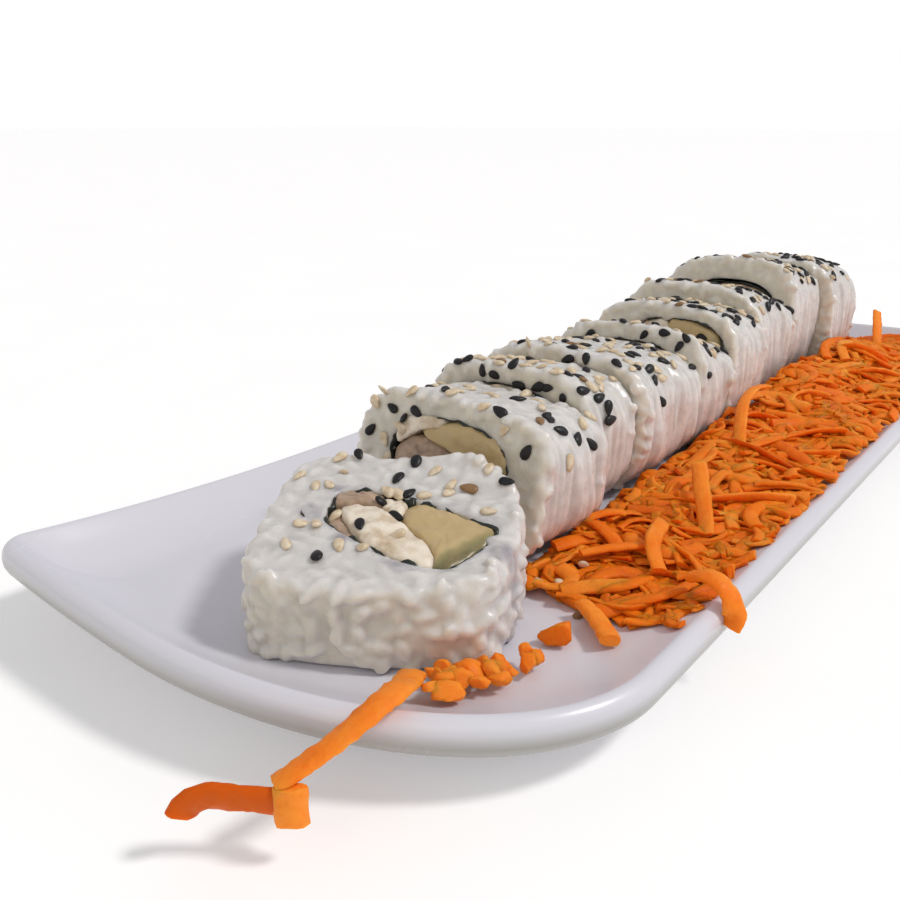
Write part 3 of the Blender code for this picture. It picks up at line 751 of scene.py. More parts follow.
def standing_frame(index):
    height, fall, offset, turn = STANDING[index][1:5]
    near = FRONT_FOOT[index]
    far = FRONT_FOOT[index + 1] - 2 * GAP
    near_lean = FRONT_LEAN[index]
    far_lean = FRONT_LEAN[index + 1]
    swing = math.tan(math.radians(turn)) / 2

    def place(across, up, depth):
        high = up * (1 - fall / height * depth)
        front = near + near_lean * high
        back = far + far_lean * high
        y = front + (back - front) * depth + swing * across * (0.5 - depth)
        return Vector((ROW_X + offset + across, y, FLOOR + high))

    return place


def lying_frame():
    turn = math.radians(LYING_TURN)
    cosine = math.cos(turn)
    sine = math.sin(turn)

    def place(across, up, depth):
        v = up - LYING_SIZE[1] / 2
        x = LYING_CENTRE[0] + across * cosine - v * sine
        y = LYING_CENTRE[1] + across * sine + v * cosine
        top = LYING_TOP + LYING_TILT * v
        return Vector((x, y, top + (FLOOR - top) * depth))

    return place


def ring_frame(place, across_shift, up_shift, wide=1.0, tall=1.0, turn=0.0):
    cosine = math.cos(math.radians(turn))
    sine = math.sin(math.radians(turn))

    def ring_place(across, high, depth):
        x = across * wide
        y = high * tall
        return place(x * cosine - y * sine + across_shift, x * sine + y * cosine + up_shift, depth)

    return ring_place


def slice_facts(number):
    """The frame, ring frame, width, height and thickness of slice number 1 to 9."""
    if number == 1:
        place = lying_frame()
        width, height = LYING_SIZE
        across_shift, up_shift, wide, tall, turn = LYING_RING
        ring = ring_frame(place, across_shift, height / 2 + up_shift, wide, tall, turn)
        return place, ring, width, height, LYING_TOP - FLOOR
    index = number - 2
    place = standing_frame(index)
    width, height = STANDING[index][:2]
    shift, lift = STANDING[index][5:7]
    thick = (place(0, height / 2, 1.0) - place(0, height / 2, 0.0)).length
    return place, ring_frame(place, shift, height / 2 + lift), width, height, thick


def ring_places(number, places):
    """Across and high, in the frame of a slice's ring, of an array of places."""
    if number == 1:
        turn = math.radians(LYING_TURN)
        x = places[:, 0] - LYING_CENTRE[0]
        y = places[:, 1] - LYING_CENTRE[1]
        across_shift, up_shift, wide, tall, own = LYING_RING
        u = x * math.cos(turn) + y * math.sin(turn) - across_shift
        v = y * math.cos(turn) - x * math.sin(turn) - up_shift
        own = math.radians(own)
        return (u * math.cos(own) + v * math.sin(own)) / wide, (v * math.cos(own) - u * math.sin(own)) / tall
    index = number - 2
    height, fall, offset = STANDING[index][1:4]
    shift, lift = STANDING[index][5:7]
    high = places[:, 2] - FLOOR
    front = FRONT_FOOT[index] + FRONT_LEAN[index] * high
    back = FRONT_FOOT[index + 1] - 2 * GAP + FRONT_LEAN[index + 1] * high
    depth = np.clip((places[:, 1] - front) / (back - front), 0.0, 1.0)
    up = high / (1 - fall / height * depth)
    return places[:, 0] - ROW_X - offset - shift, up - height / 2 - lift


def offset_outline(points, grow):
    """A closed outline, anticlockwise or not, moved outwards by grow."""
    count = len(points)
    area = sum(points[i - 1][0] * points[i][1] - points[i][0] * points[i - 1][1] for i in range(count))
    sign = 1.0 if area > 0 else -1.0
    moved = []
    for index, (x, y) in enumerate(points):
        before = points[index - 1]
        after = points[(index + 1) % count]
        along = Vector((after[0] - before[0], after[1] - before[1])).normalized()
        moved.append((x + sign * along.y * grow, y - sign * along.x * grow))
    return moved


def ring_outline(number, grow, count):
    """The run of the seaweed round the filling, moved outwards by grow."""
    if number == 1:
        return offset_outline(evened(list(reversed(LYING_OUTLINE)), count, 2), grow)
    return rounded(RING_WIDTH - 0.5 + 2 * grow, RING_HEIGHT - 0.5 + 2 * grow, RING_POWER, count)


def ring_distance(number, places):
    """How far outside a slice's ring each place is, negative inside it."""
    across, high = ring_places(number, places)
    outline = np.array(ring_outline(number, 0.0, 90))
    outer = np.array(ring_outline(number, 1.0, 90))
    away = np.hypot(across[:, None] - outline[None, :, 0], high[:, None] - outline[None, :, 1])
    nearest = away.argmin(axis=1)
    normal = outer[nearest] - outline[nearest]
    side = (across - outline[nearest, 0]) * normal[:, 0] + (high - outline[nearest, 1]) * normal[:, 1]
    return np.where(side > 0, away.min(axis=1), -away.min(axis=1))


def corner_growth(angle):
    """How much the lying slice's outline grows at an angle, for its round and sharp corners."""
    total = 1.0
    for middle, spread, amount in LYING_CORNERS:
        away = (math.degrees(angle) - middle + 180.0) % 360.0 - 180.0
        total -= amount * math.exp(-((away / spread) ** 2))
    return total


# Rice.


SKIN = 0.4
EDGE = 1.3
TOUCH = 0.6
DEPTHS = (0.0, 0.012, 0.03, 0.06, 0.1, 0.16, 0.24, 0.34, 0.5, 0.66, 0.76, 0.84, 0.9, 0.94, 0.97, 0.988, 1.0)


def rice_block(number):
    """The pressed block under the grains, with the hole that the seaweed goes through."""
    place, ring, width, height, thick = slice_facts(number)
    lying = number == 1
    uneven = wave(11 if lying else 18 + number, RICE_UNEVEN)
    around = 84
    outer = []
    for depth in DEPTHS:
        near = min(depth, 1 - depth) * thick
        inset = SKIN
        if near < EDGE:
            inset += EDGE * 0.62 * (1 - math.sqrt(1 - (1 - near / EDGE) ** 2))
        held = (SKIN - TOUCH) / thick + depth * (1 - 2 * (SKIN - TOUCH) / thick)
        band = []
        power = LYING_POWER if lying else RICE_POWER
        for across, high in rounded(width - 2 * inset, height - 2 * inset, power, around):
            angle = math.atan2(high, across)
            grow = 1 + uneven(angle, 3 * depth)
            if lying:
                grow *= corner_growth(angle)
            up = high * grow + height / 2
            if not lying:
                up = max(up, 0.05)
            band.append(place(across * grow, up, held))
        outer.append(band)
    hole = ring_outline(number, -0.1, around)
    if number == 1:
        start = min(range(around), key=lambda step: abs(math.atan2(hole[step][1], hole[step][0])))
        hole = hole[start:] + hole[:start]
    area = sum(hole[i - 1][0] * hole[i][1] - hole[i][0] * hole[i - 1][1] for i in range(around))
    if area < 0:
        hole = [hole[-step % around] for step in range(around)]
    inner = []
    for depth in (1.0, 0.66, 0.33, 0.0):
        held = (SKIN - TOUCH) / thick + depth * (1 - 2 * (SKIN - TOUCH) / thick)
        inner.append([ring(across, high, held) for across, high in hole])
    rings = outer + inner
    rings.append(outer[0])
    block = turned_out(from_data("rice_block_%d" % number, *lofted(rings, False, False)))
    mark_cover(block, number)
    return block


def mark_cover(block, number):
    """Says where grains may lie, and where they lie loose and proud."""
    mesh = block.data
    subdivide_long(mesh, 3.2)
    places = np.array([vertex.co for vertex in mesh.vertices])
    normals = np.array([vertex.normal for vertex in mesh.vertices])
    cover = (ring_distance(number, places) > 0.6).astype(float)
    under = FLOOR + 0.5 if number > 1 else FLOOR + 0.8
    cover[(places[:, 2] < under) & (normals[:, 2] < -0.6)] = 0.0
    loose = np.zeros(len(places))
    if number == 1:
        patches = np.array([noise.noise(Vector(place) * 0.11 + Vector((3.0, 1.0, 7.0))) for place in places])
        low = np.clip(0.5 + 1.4 * patches + (15.0 - places[:, 2]) * 0.07, 0.0, 1.0)
        loose = np.where(np.abs(normals[:, 2]) < 0.6, low, 0.0)
    else:
        loose = -0.75 * normals[:, 0] ** 2
    mesh.attributes.new("cover", "FLOAT", "POINT").data.foreach_set("value", cover)
    mesh.attributes.new("loose", "FLOAT", "POINT").data.foreach_set("value", loose)


def subdivide_long(mesh, longest):
    """Splits edges longer than longest, so that marks on the points stay sharp."""
    shell = bmesh.new()
    shell.from_mesh(mesh)
    for _ in range(3):
        long_edges = [edge for edge in shell.edges if edge.calc_length() > longest]
        if not long_edges:
            break
        bmesh.ops.subdivide_edges(shell, edges=long_edges, cuts=1, use_grid_fill=True)
        bmesh.ops.triangulate(shell, faces=[face for face in shell.faces if len(face.verts) > 4])
    shell.normal_update()
    shell.to_mesh(mesh)
    shell.free()
    mesh.update()


# How the grains are pressed: smoothing rounds, the share of it kept on sides and top, and the
# most that a grain stands proud of the block in millimetres, for the lying slice and the rest.
FIRST_SMOOTH = 2
LATER_SMOOTH = 7
RUBBED_LYING = 0.4
RUBBED = 0.7
RUBBED_TOP = 0.3
PROUD_LYING = 1.2
PROUD = 0.75
RIDGE_RIGHT = 1.15
RIDGE_LEFT = 0.5
FOOT_SPREAD = 1.8
BACK_RISE = 3.0
FAR_RISE = {8: 1.2, 9: 2.4}

# Patches of rice coloured by the seaweed, in the frame of the front ring: place, width.
STAINED = ((15.5, -3.0, 3.2), (-14.5, 0.5, 3.0), (2.0, -9.6, 2.4), (-8.0, -5.5, 2.4), (-13.5, 8.0, 1.6))


def softened(obj, times):
    modifier = obj.modifiers.new("soften", "SMOOTH")
    modifier.factor = 0.5
    modifier.iterations = times
    kept(obj)


def surface_of(obj):
    """The points of a mesh and the way each one faces."""
    mesh = obj.data
    places = np.empty(len(mesh.vertices) * 3, np.float32)
    normals = np.empty(len(mesh.vertices) * 3, np.float32)
    mesh.vertices.foreach_get("co", places)
    mesh.vertex_normals.foreach_get("vector", normals)
    return places.reshape(-1, 3), normals.reshape(-1, 3)


def held_close(block_tree, places, most):
    """Pulls back the grains that stand further than this from the block."""
    for index, place in enumerate(places.tolist()):
        point = Vector(place)
        near, normal, _, far = block_tree.find_nearest(point)
        if far > most and normal.dot(point - near) > 0:
            places[index] = near + (point - near) * ((most + 0.25 * (far - most)) / far)


def pressed(obj, number, voxel, look, block_tree):
    """Melds the grains and the block into one skin, then softens and settles it."""
    modifier = obj.modifiers.new("meld", "REMESH")
    modifier.mode = "VOXEL"
    modifier.voxel_size = voxel
    modifier.use_smooth_shade = True
    softened(obj, FIRST_SMOOTH)
    grainy, _ = surface_of(obj)
    softened(obj, LATER_SMOOTH)
    places, normals = surface_of(obj)
    mesh = obj.data
    rubbed, most_proud = (RUBBED_LYING, PROUD_LYING) if number == 1 else (RUBBED, PROUD)
    rubbed = rubbed + RUBBED_TOP * np.clip(normals[:, 2:], 0.0, 1.0)
    places = grainy + (places - grainy) * rubbed
    held_close(block_tree, places, most_proud)
    if number > 1:
        ridges = [
            noise.noise(Vector((x * 0.05, y * 0.3, z * 0.04 + number * 5)))
            + 0.6 * noise.noise(Vector((x * 0.05, y * 0.75, z * 0.07 + number * 5)))
            for x, y, z in places
        ]
        places[:, 2] += FAR_RISE.get(number, 0.0) * np.clip((places[:, 2] - 26.0) / 16.0, 0.0, 1.0)
        sides = np.abs(normals[:, 0]) ** 2 * np.where(places[:, 0] > 0, RIDGE_RIGHT, RIDGE_LEFT)
        places += normals * (np.array(ridges) * sides)[:, None]
        if number == 2:
            low = np.clip((32.0 - places[:, 2]) / 16.0, 0.0, 1.0)
            left = np.clip(-(places[:, 0] + 10.0) / 12.0, 0.0, 1.0)
            places[:, 0] -= FOOT_SPREAD * low * left
    else:
        turn = math.radians(LYING_TURN)
        x_from = places[:, 0] - LYING_CENTRE[0]
        y_from = places[:, 1] - LYING_CENTRE[1]
        right = x_from * math.cos(turn) + y_from * math.sin(turn)
        back = y_from * math.cos(turn) - x_from * math.sin(turn)
        swell = np.exp(-(((right - 12.0) / 11.0) ** 2)) * np.clip((back - 9.0) / 8.0, 0.0, 1.0)
        places[:, 2] += BACK_RISE * swell * np.clip((places[:, 2] - 12.0) / 12.0, 0.0, 1.0)
    places[:, 2] = np.maximum(places[:, 2], WELL_Z + 0.03)
    mesh.vertices.foreach_set("co", places.reshape(-1))
    mesh.update()
    stain = 0.6 * np.clip(1.0 - ring_distance(number, places) / look.stain_width * MM, 0.0, 1.0)
    if number == 1:
        across, high = ring_places(1, places)
        for patch_x, patch_y, wide in STAINED:
            away = (across - patch_x) ** 2 + (high - patch_y) ** 2
            stain = np.maximum(stain, np.exp(-away / wide ** 2))
    mesh.attributes.new("stain", "FLOAT", "POINT").data.foreach_set("value", stain.astype(np.float32))
    # Painted warm light: marks the sides that face the front, to be tinted yellowish as if by warm light
    # from the camera side.
    warm = np.clip(1.0 - np.abs(normals[:, 2]), 0.0, 1.0) * np.clip(-normals[:, 1] - 0.1, 0.0, 1.0)
    mesh.attributes.new("warm", "FLOAT", "POINT").data.foreach_set("value", warm.astype(np.float32))
    return obj


def make_rice(look, finish):
    tree = grain_tree()
    voxel = look.voxel / MM
    fine = 0.8 * voxel
    made = []
    for number in range(1, 10):
        block = rice_block(number)
        values = {
            "Spacing": look.spacing / MM,
            "Density": 0.42,
            "Length": look.grain_length / MM,
            "Thickness": look.grain_width / MM,
            "Proud": 0.48 if number == 1 else 0.46,
            "Tilt": 0.24,
            "Seed": 40 + number,
            "Material": finish,
        }
        corners = [vertex.co.copy() for vertex in block.data.vertices]
        block_tree = BVHTree.FromPolygons(corners, [tuple(face.vertices) for face in block.data.polygons])
        grown(block, tree, values)
        pressed(block, number, fine if number == 1 else voxel, look, block_tree)
        block.name = "pressed_rice_%d" % number
        made.append(settled(block, ["rice_%d" % number], finish))
    return made


# Seaweed.


def seaweed_band(number, path, closed, thick, from_mm, to_mm, look, seed):
    """Rings of points along the run of the seaweed, crinkled and uneven in thickness."""
    _, ring, _, _, slice_thick = slice_facts(number)
    count = len(path)
    outer = offset_outline(path, 1.0)
    rings = []
    levels = (
        (1.0, from_mm + 0.35), (1.0, from_mm + 1.4), (1.0, (from_mm + to_mm) / 2), (1.0, to_mm - 0.3),
        (0.5, to_mm - 0.1), (0.0, to_mm - 0.3), (0.0, (from_mm + to_mm) / 2), (0.0, from_mm + 1.4),
        (0.0, from_mm + 0.35), (0.5, from_mm),
    )
    for outward, mm in levels:
        band = []
        for step, (across, high) in enumerate(path):
            way = Vector((outer[step][0] - across, outer[step][1] - high))
            spot = Vector((across * 0.32, high * 0.32, seed + mm * 0.05))
            crinkle = noise.noise(spot) * 0.3 + noise.noise(spot * 3.1) * 0.26
            crinkle += noise.noise(spot * 6.3) * 0.12
            swell = abs(noise.noise(spot * 0.9 + Vector((9.0, 4.0, 2.0))))
            body = thick * look.thickness * (0.4 + 2.2 * swell)
            if number == 1:
                for fold_x, fold_y, extra in NORI_FOLDS:
                    body += extra * math.exp(-((across - fold_x) ** 2 + (high - fold_y) ** 2) / 1.6)
            radius = crinkle * 1.1 * look.crinkle + body * (outward - 0.5)
            ragged = -0.1 + noise.noise(Vector((across * 0.4, high * 0.4, seed + 20))) * 1.1
            depth = (mm + (ragged if mm < from_mm + 1 else 0.0)) / slice_thick
            band.append(ring(across + way.x * radius, high + way.y * radius, depth))
        rings.append(band)
    if not closed:
        points = [point for band in rings for point in band]
        faces = []
        levels_count = len(rings)
        for level in range(levels_count):
            after_level = (level + 1) % levels_count
            for step in range(count - 1):
                low = level * count + step
                top = after_level * count + step
                faces.append((low, low + 1, top + 1, top))
        faces.append(tuple(level * count for level in range(levels_count)))
        faces.append(tuple(level * count + count - 1 for level in reversed(range(levels_count))))
        return points, faces
    rings.append(rings[0])
    return lofted(rings, False, False)


NORI_FOLDS = ((-13.5, 5.0, 1.1), (13.6, 1.6, 0.8), (10.4, 4.8, 0.5), (8.3, -8.9, 0.6), (-11.8, -1.6, 0.5))
STRAY_NORI = ((-15.9, 1.6), (-16.3, 0.9), (-16.4, 0.1), (-16.1, -0.6), (-15.6, -1.1))


def make_nori(look, finish):
    for number in range(1, 10):
        thick = slice_facts(number)[4]
        path = ring_outline(number, 0.0, 260 if number < 3 else 150)
        points, faces = seaweed_band(number, path, True, 0.5, 0.0, thick - 0.1, look, 40.0 + 7 * number)
        if number == 1:
            start = len(points)
            more_points, more_faces = seaweed_band(1, STRAY_NORI, False, 0.42, -0.2, 2.4, look, 8.0)
            points = points + more_points
            faces = faces + [tuple(start + corner for corner in face) for face in more_faces]
        strip = turned_out(from_data("seaweed_%d" % number, points, faces))
        settled(strip, ["nori_%d" % number], finish)


# Fillings.


def clip(points, normal, offset):
    """The part of a convex outline where the dot product with normal is at least offset."""
    inside = []
    for index, point in enumerate(points):
        after = points[(index + 1) % len(points)]
        here = point[0] * normal[0] + point[1] * normal[1] - offset
        there = after[0] * normal[0] + after[1] * normal[1] - offset
        if here >= 0:
            inside.append(point)
        if (here >= 0) != (there >= 0):
            share = here / (here - there)
            x = point[0] + share * (after[0] - point[0])
            y = point[1] + share * (after[1] - point[1])
            inside.append((x, y))
    return inside


def shares(angle, cut, split, hand):
    """Outlines of the cheese, the avocado and the chicken inside the seaweed."""
    space = rounded(RING_WIDTH - 1.5, RING_HEIGHT - 1.5, RING_POWER, 40)
    turn = math.radians(angle)
    along = (math.cos(turn), math.sin(turn))
    across = (hand * math.sin(turn), -hand * math.cos(turn))
    level = cut * RING_HEIGHT / 2
    side = split * RING_WIDTH / 2
    back = (-along[0], -along[1])
    other = (-across[0], -across[1])
    cheese = clip(space, back, -level)
    rest = clip(space, along, level)
    avocado = clip(rest, across, side)
    chicken = clip(rest, other, -side)
    return cheese, avocado, chicken


def evened(outline, count, passes=2):
    """The closed outline again as count points at even steps, its corners a little rounded."""
    lengths = []
    for index, point in enumerate(outline):
        after = outline[(index + 1) % len(outline)]
        lengths.append(math.dist(point, after))
    total = sum(lengths)
    points = []
    for step in range(count):
        left = total * step / count
        index = 0
        while left > lengths[index]:
            left -= lengths[index]
            index += 1
        point = outline[index]
        after = outline[(index + 1) % len(outline)]
        share = left / max(lengths[index], 1e-6)
        points.append((point[0] + share * (after[0] - point[0]), point[1] + share * (after[1] - point[1])))
    for _ in range(passes):
        points = [
            tuple((points[i - 1][k] + 2 * points[i][k] + points[(i + 1) % count][k]) / 4 for k in (0, 1))
            for i in range(count)
        ]
    return points


def filling_rings(outline, ring, thick, top, seed, rough, dome):
    """Rings of a filling that runs through the slice, and where each point lies across it."""
    count = len(outline)
    centre = (sum(p[0] for p in outline) / count, sum(p[1] for p in outline) / count)
    levels = [
        (0.03, top - dome), (0.15, top - dome), (0.3, top - dome), (0.43, top - 0.97 * dome),
        (0.55, top - 0.9 * dome), (0.66, top - 0.77 * dome), (0.75, top - 0.6 * dome),
        (0.82, top - 0.4 * dome), (0.88, top - 0.2 * dome), (0.96, top + 0.25), (1.0, top + 0.8),
        (1.0, thick * 0.3), (1.0, thick * 0.6), (1.0, thick - 1.2), (0.95, thick - 0.5), (0.75, thick - 0.2),
        (0.4, thick), (0.04, thick),
    ]
    rings = []
    flats = []
    for scale, mm in levels:
        band = []
        for across, high in outline:
            x = centre[0] + (across - centre[0]) * scale
            y = centre[1] + (high - centre[1]) * scale
            spot = Vector((x * 0.35 + seed, y * 0.35, mm * 0.08))
            lift = noise.noise(spot) * rough + noise.noise(spot * 3.1) * rough * 0.5
            flats.append((x, y))
            wall = 1 + 0.04 * noise.noise(Vector((x * 0.5, y * 0.5, mm * 0.3 + seed)))
            x = centre[0] + (x - centre[0]) * wall
            y = centre[1] + (y - centre[1]) * wall
            band.append(ring(x, y, (mm + (lift if mm < thick / 2 else -lift)) / thick))
        rings.append(band)
    return rings, flats


FILLING_SWELL = 0.2


def filling_piece(name, parts, ring, thick, count, skin=None):
    """One piece from one or several (outline, top, seed, rough, dome) parts."""
    points = []
    faces = []
    values = []
    for outline, top, seed, rough, dome in parts:
        smooth = evened(outline, count)
        smooth = offset_outline(smooth, FILLING_SWELL)
        rings, flats = filling_rings(smooth, ring, thick, top, seed, rough, dome)
        start = len(points)
        part_points, part_faces = lofted(rings)
        points.extend(part_points)
        faces.extend(tuple(start + corner for corner in face) for face in part_faces)
        values.extend(skin(x, y) if skin else 0.0 for x, y in flats)
    obj = from_data(name, points, faces)
    attribute = obj.data.attributes.new("skin", "FLOAT", "POINT")
    attribute.data.foreach_set("value", values)
    return turned_out(obj)


def food_parts(outlines, tops, seed, rough, dome):
    """Parts of one filling piece, each with the depth of its cut face."""
    parts = []
    for index, (outline, top) in enumerate(zip(outlines, tops)):
        parts.append((outline, top, seed + 3.0 * index, rough, dome))
    return parts


def make_fillings(cheese_look, avocado_look, chicken_look):
    for number in range(1, 10):
        _, ring, _, _, thick = slice_facts(number)
        count = 72 if number in (1, 2) else 36
        if number == 1:
            cheese = food_parts(LYING_CHEESE, (-0.2, 0.4), 3.0, 0.55, 0.5)
            avocado = food_parts(LYING_AVOCADO, (-0.05,), 5.0, 0.5, 0.3)
            chicken = food_parts(LYING_CHICKEN, (0.1, 1.1), 7.0, 0.5, 0.4)
        elif number == 2:
            cheese = food_parts(LEANING_CHEESE, (-0.3,), 13.0, 0.5, 0.4)
            avocado = food_parts(LEANING_AVOCADO, (-0.4,), 15.0, 0.5, 0.4)
            chicken = food_parts(LEANING_CHICKEN, (0.0,), 17.0, 0.6, 0.5)
        else:
            parts = []
            for index, outline in enumerate(shares(*STANDING[number - 2][7:])):
                parts.append(food_parts((outline,), (0.1 + 0.15 * index,), number * 7.0 + index, 0.5, 0.4))
            cheese, avocado, chicken = parts
        whole = [point for part in avocado for point in part[0]]
        low = min(x - 1.6 * y for x, y in whole)
        high = max(x - 1.6 * y for x, y in whole)

        def skin(x, y):
            if number == 1:
                return max(0.0, min(1.0, (0.82 * x - 0.57 * y - 6.2) / 5.0))
            return max(0.0, min(1.0, (x - 1.6 * y - low) / (high - low))) ** 1.6

        piece = filling_piece("cheese_strip_%d" % number, cheese, ring, thick, count)
        settled(piece, ["cheese_%d" % number], cheese_look)
        piece = filling_piece("avocado_strip_%d" % number, avocado, ring, thick, count, skin)
        settled(piece, ["avocado_%d" % number], avocado_look)
        piece = filling_piece("chicken_strip_%d" % number, chicken, ring, thick, count)
        settled(piece, ["chicken_%d" % number], chicken_look)


# Sesame. Places are pixels of the 900 pixel view, cast onto the rice.

BLACK_SEEN = (
    (371, 429), (393, 408), (404, 419), (417, 412), (359, 455), (416, 463), (398, 479), (409, 494),
    (382, 503), (396, 517), (360, 525), (317, 556), (332, 511), (500, 412), (519, 385), (538, 387),
    (548, 388), (518, 400), (563, 399), (583, 391), (599, 398), (547, 416), (550, 421), (560, 431),
    (577, 439), (591, 444), (527, 452), (610, 420), (483, 370), (495, 375), (514, 364), (568, 359),
    (572, 348), (590, 334), (586, 359), (567, 375), (617, 364), (634, 355), (644, 335), (665, 333),
    (679, 347), (686, 338), (702, 338), (693, 307), (728, 317), (789, 310), (709, 375), (661, 401),
    (608, 408), (654, 380),
)
PALE_SEEN = (
    (388, 386), (412, 392), (433, 387), (376, 402), (401, 427), (385, 439), (340, 458), (388, 456),
    (435, 472), (452, 485), (448, 494), (425, 496), (398, 494), (388, 492), (489, 512), (335, 517),
    (316, 524), (301, 524), (339, 546), (362, 548), (398, 535), (286, 544), (300, 476), (316, 487),
    (329, 485), (505, 429), (484, 407), (459, 392), (590, 417), (569, 463), (489, 470),
)
BROWN_SEEN = (
    (469, 489), (540, 422),
)
FALLEN_SEEN = ((569, 563), (585, 565), (538, 583), (560, 583), (579, 616))
STANDING_SEEN = ((530, 345), (387, 392))
FALLEN_ON = ("oblong_plate", "grated_carrot", "carrot_heart")


def eye_axes():
    heading = math.radians(HEADING)
    pitch = math.atan(HORIZON_DROP / FOCAL)
    level = math.cos(pitch)
    forward = Vector((-math.sin(heading) * level, math.cos(heading) * level, -math.sin(pitch)))
    right = Vector((math.cos(heading), math.sin(heading), 0.0))
    return forward, right, right.cross(forward)


def seen_spot(tree, px, py):
    """Where the view through this pixel meets the food: place and normal in millimetres."""
    forward, right, up = eye_axes()
    half = IMAGE / 2
    way = forward * FOCAL + right * (px - half) - up * (py - half)
    place, normal, _, _ = tree.ray_cast(Vector(EYE) * MM, way.normalized())
    if place is None:
        return None
    return place / MM, normal


def food_tree(objects):
    """One search tree over several settled pieces."""
    points = []
    faces = []
    for obj in objects:
        start = len(points)
        points.extend(vertex.co.copy() for vertex in obj.data.vertices)
        faces.extend([start + corner for corner in face.vertices] for face in obj.data.polygons)
    return BVHTree.FromPolygons(points, faces)


def lying_seed(spot, normal, draw, stand=0.0):
    """Place and turn of a seed that lies on a surface, or stands on its end."""
    across = normal.orthogonal().normalized()
    turn = draw.uniform(0, 2 * math.pi)
    along = (across * math.cos(turn) + normal.cross(across) * math.sin(turn)).normalized()
    if stand:
        along = (along * (1 - stand) + normal * stand).normalized()
    third = along.cross(normal).normalized()
    over = third.cross(along).normalized()
    basis = Matrix((along, over.cross(along), over)).transposed()
    lift = 0.22 + 1.0 * stand
    return spot + normal * lift, basis.to_euler()


def seed_cloud(name, seeds, tree, look, finish):
    points = [place for place, aim in seeds]
    cloud = from_data(name, points, [])
    draw = random.Random(len(points))
    aims = [turn for place, aim in seeds for turn in aim]
    cloud.data.attributes.new("aim", "FLOAT_VECTOR", "POINT").data.foreach_set("vector", aims)
    sizes = [draw.uniform(0.86, 1.1) for place in points]
    cloud.data.attributes.new("size", "FLOAT", "POINT").data.foreach_set("value", sizes)
    values = {
        "Length": look.length / MM,
        "Width": look.width / MM,
        "Thickness": look.thickness / MM,
        "Material": finish,
    }
    grown(cloud, tree, values)
    return settled(cloud, [], finish)


# Scattered seeds fall from a height, land where the rice faces up and keep apart.
SEED_DROP = 70.0
SEED_LOWEST = 19.0
SEED_UP = 0.5
SEED_APART = 2.3
# Slice, seeds wanted on it, share of black ones.
SCATTERED = (
    (1, 2, 0.1), (2, 14, 0.1), (3, 40, 0.2), (4, 58, 0.3), (5, 60, 0.45), (6, 58, 0.5), (7, 64, 0.6),
    (8, 72, 0.65), (9, 64, 0.6),
)


def make_sesame(look, finishes):
    rice = [obj for obj in bpy.data.objects if obj.name.startswith("pressed_rice_")]
    fillings = [obj for obj in bpy.data.objects if "_strip_" in obj.name]
    tree = food_tree(rice + fillings)
    draw = random.Random(17)
    groups = {"black": [], "pale": [], "brown": []}
    taken = []

    def add(group, spot, normal, stand=0.0):
        groups[group].append(lying_seed(spot, normal, draw, stand))
        taken.append(spot)

    for group, pixels in (("black", BLACK_SEEN), ("pale", PALE_SEEN), ("brown", BROWN_SEEN)):
        for pixel in pixels:
            found = seen_spot(tree, *pixel)
            if found:
                add(group, *found)
    for pixel in STANDING_SEEN:
        found = seen_spot(tree, *pixel)
        if found:
            add("pale", *found, stand=0.85)
    under = food_tree([obj for obj in bpy.data.objects if obj.name in FALLEN_ON])
    for index, pixel in enumerate(FALLEN_SEEN):
        found = seen_spot(under, *pixel)
        if found:
            groups["pale" if index < 4 else "brown"].append(lying_seed(*found, draw))
    for number, wanted, dark in SCATTERED:
        place, _, width, height, _ = slice_facts(number)
        done = 0
        for _ in range(wanted * 12):
            if done == wanted:
                break
            if number == 1:
                spot = place(draw.uniform(-0.47, 0.47) * width, draw.uniform(0.04, 0.96) * height, 0.0)
            else:
                spot = place(draw.uniform(-0.44, 0.44) * width, height, draw.uniform(0.02, 0.98))
            start = Vector((spot.x, spot.y, SEED_DROP)) * MM
            hit, normal, _, _ = tree.ray_cast(start, Vector((0, 0, -1)))
            if hit is None or normal.z < SEED_UP or hit.z < SEED_LOWEST * MM:
                continue
            hit = hit / MM
            if any((hit - other).length < SEED_APART for other in taken):
                continue
            kind = draw.random()
            add("black" if kind < dark else "brown" if kind > 0.95 else "pale", hit, normal)
            done += 1
    grow = seed_tree()
    seed_cloud("sesame_black", groups["black"], grow, look, finishes["black"])
    seed_cloud("sesame_pale", groups["pale"], grow, look, finishes["pale"])
    seed_cloud("sesame_brown", groups["brown"], grow, look, finishes["brown"])


# Carrot.


def strip_lines(name, paths, tip=0.75):
    """Lines of edges for the grated strips: (points, width share, roll, tone) each."""
    points = []
    edges = []
    wides = []
    rolls = []
    tones = []
    for line, wide, roll, tone in paths:
        start = len(points)
        count = len(line)
        near, far = wide if isinstance(wide, tuple) else (wide, wide)
        for index, point in enumerate(line):
            end = min(index, count - 1 - index)
            points.append(point)
            wides.append((near + (far - near) * index / max(count - 1, 1)) * (tip if end == 0 else 1.0))
            rolls.append(roll[0] + (roll[1] - roll[0]) * index / max(count - 1, 1))
            tones.append(tone)
        edges.extend((start + step, start + step + 1) for step in range(count - 1))
    obj = from_data(name, points, [], edges)
    for label, values in (("wide", wides), ("roll", rolls), ("tone", tones)):
        obj.data.attributes.new(label, "FLOAT", "POINT").data.foreach_set("value", values)
    return obj


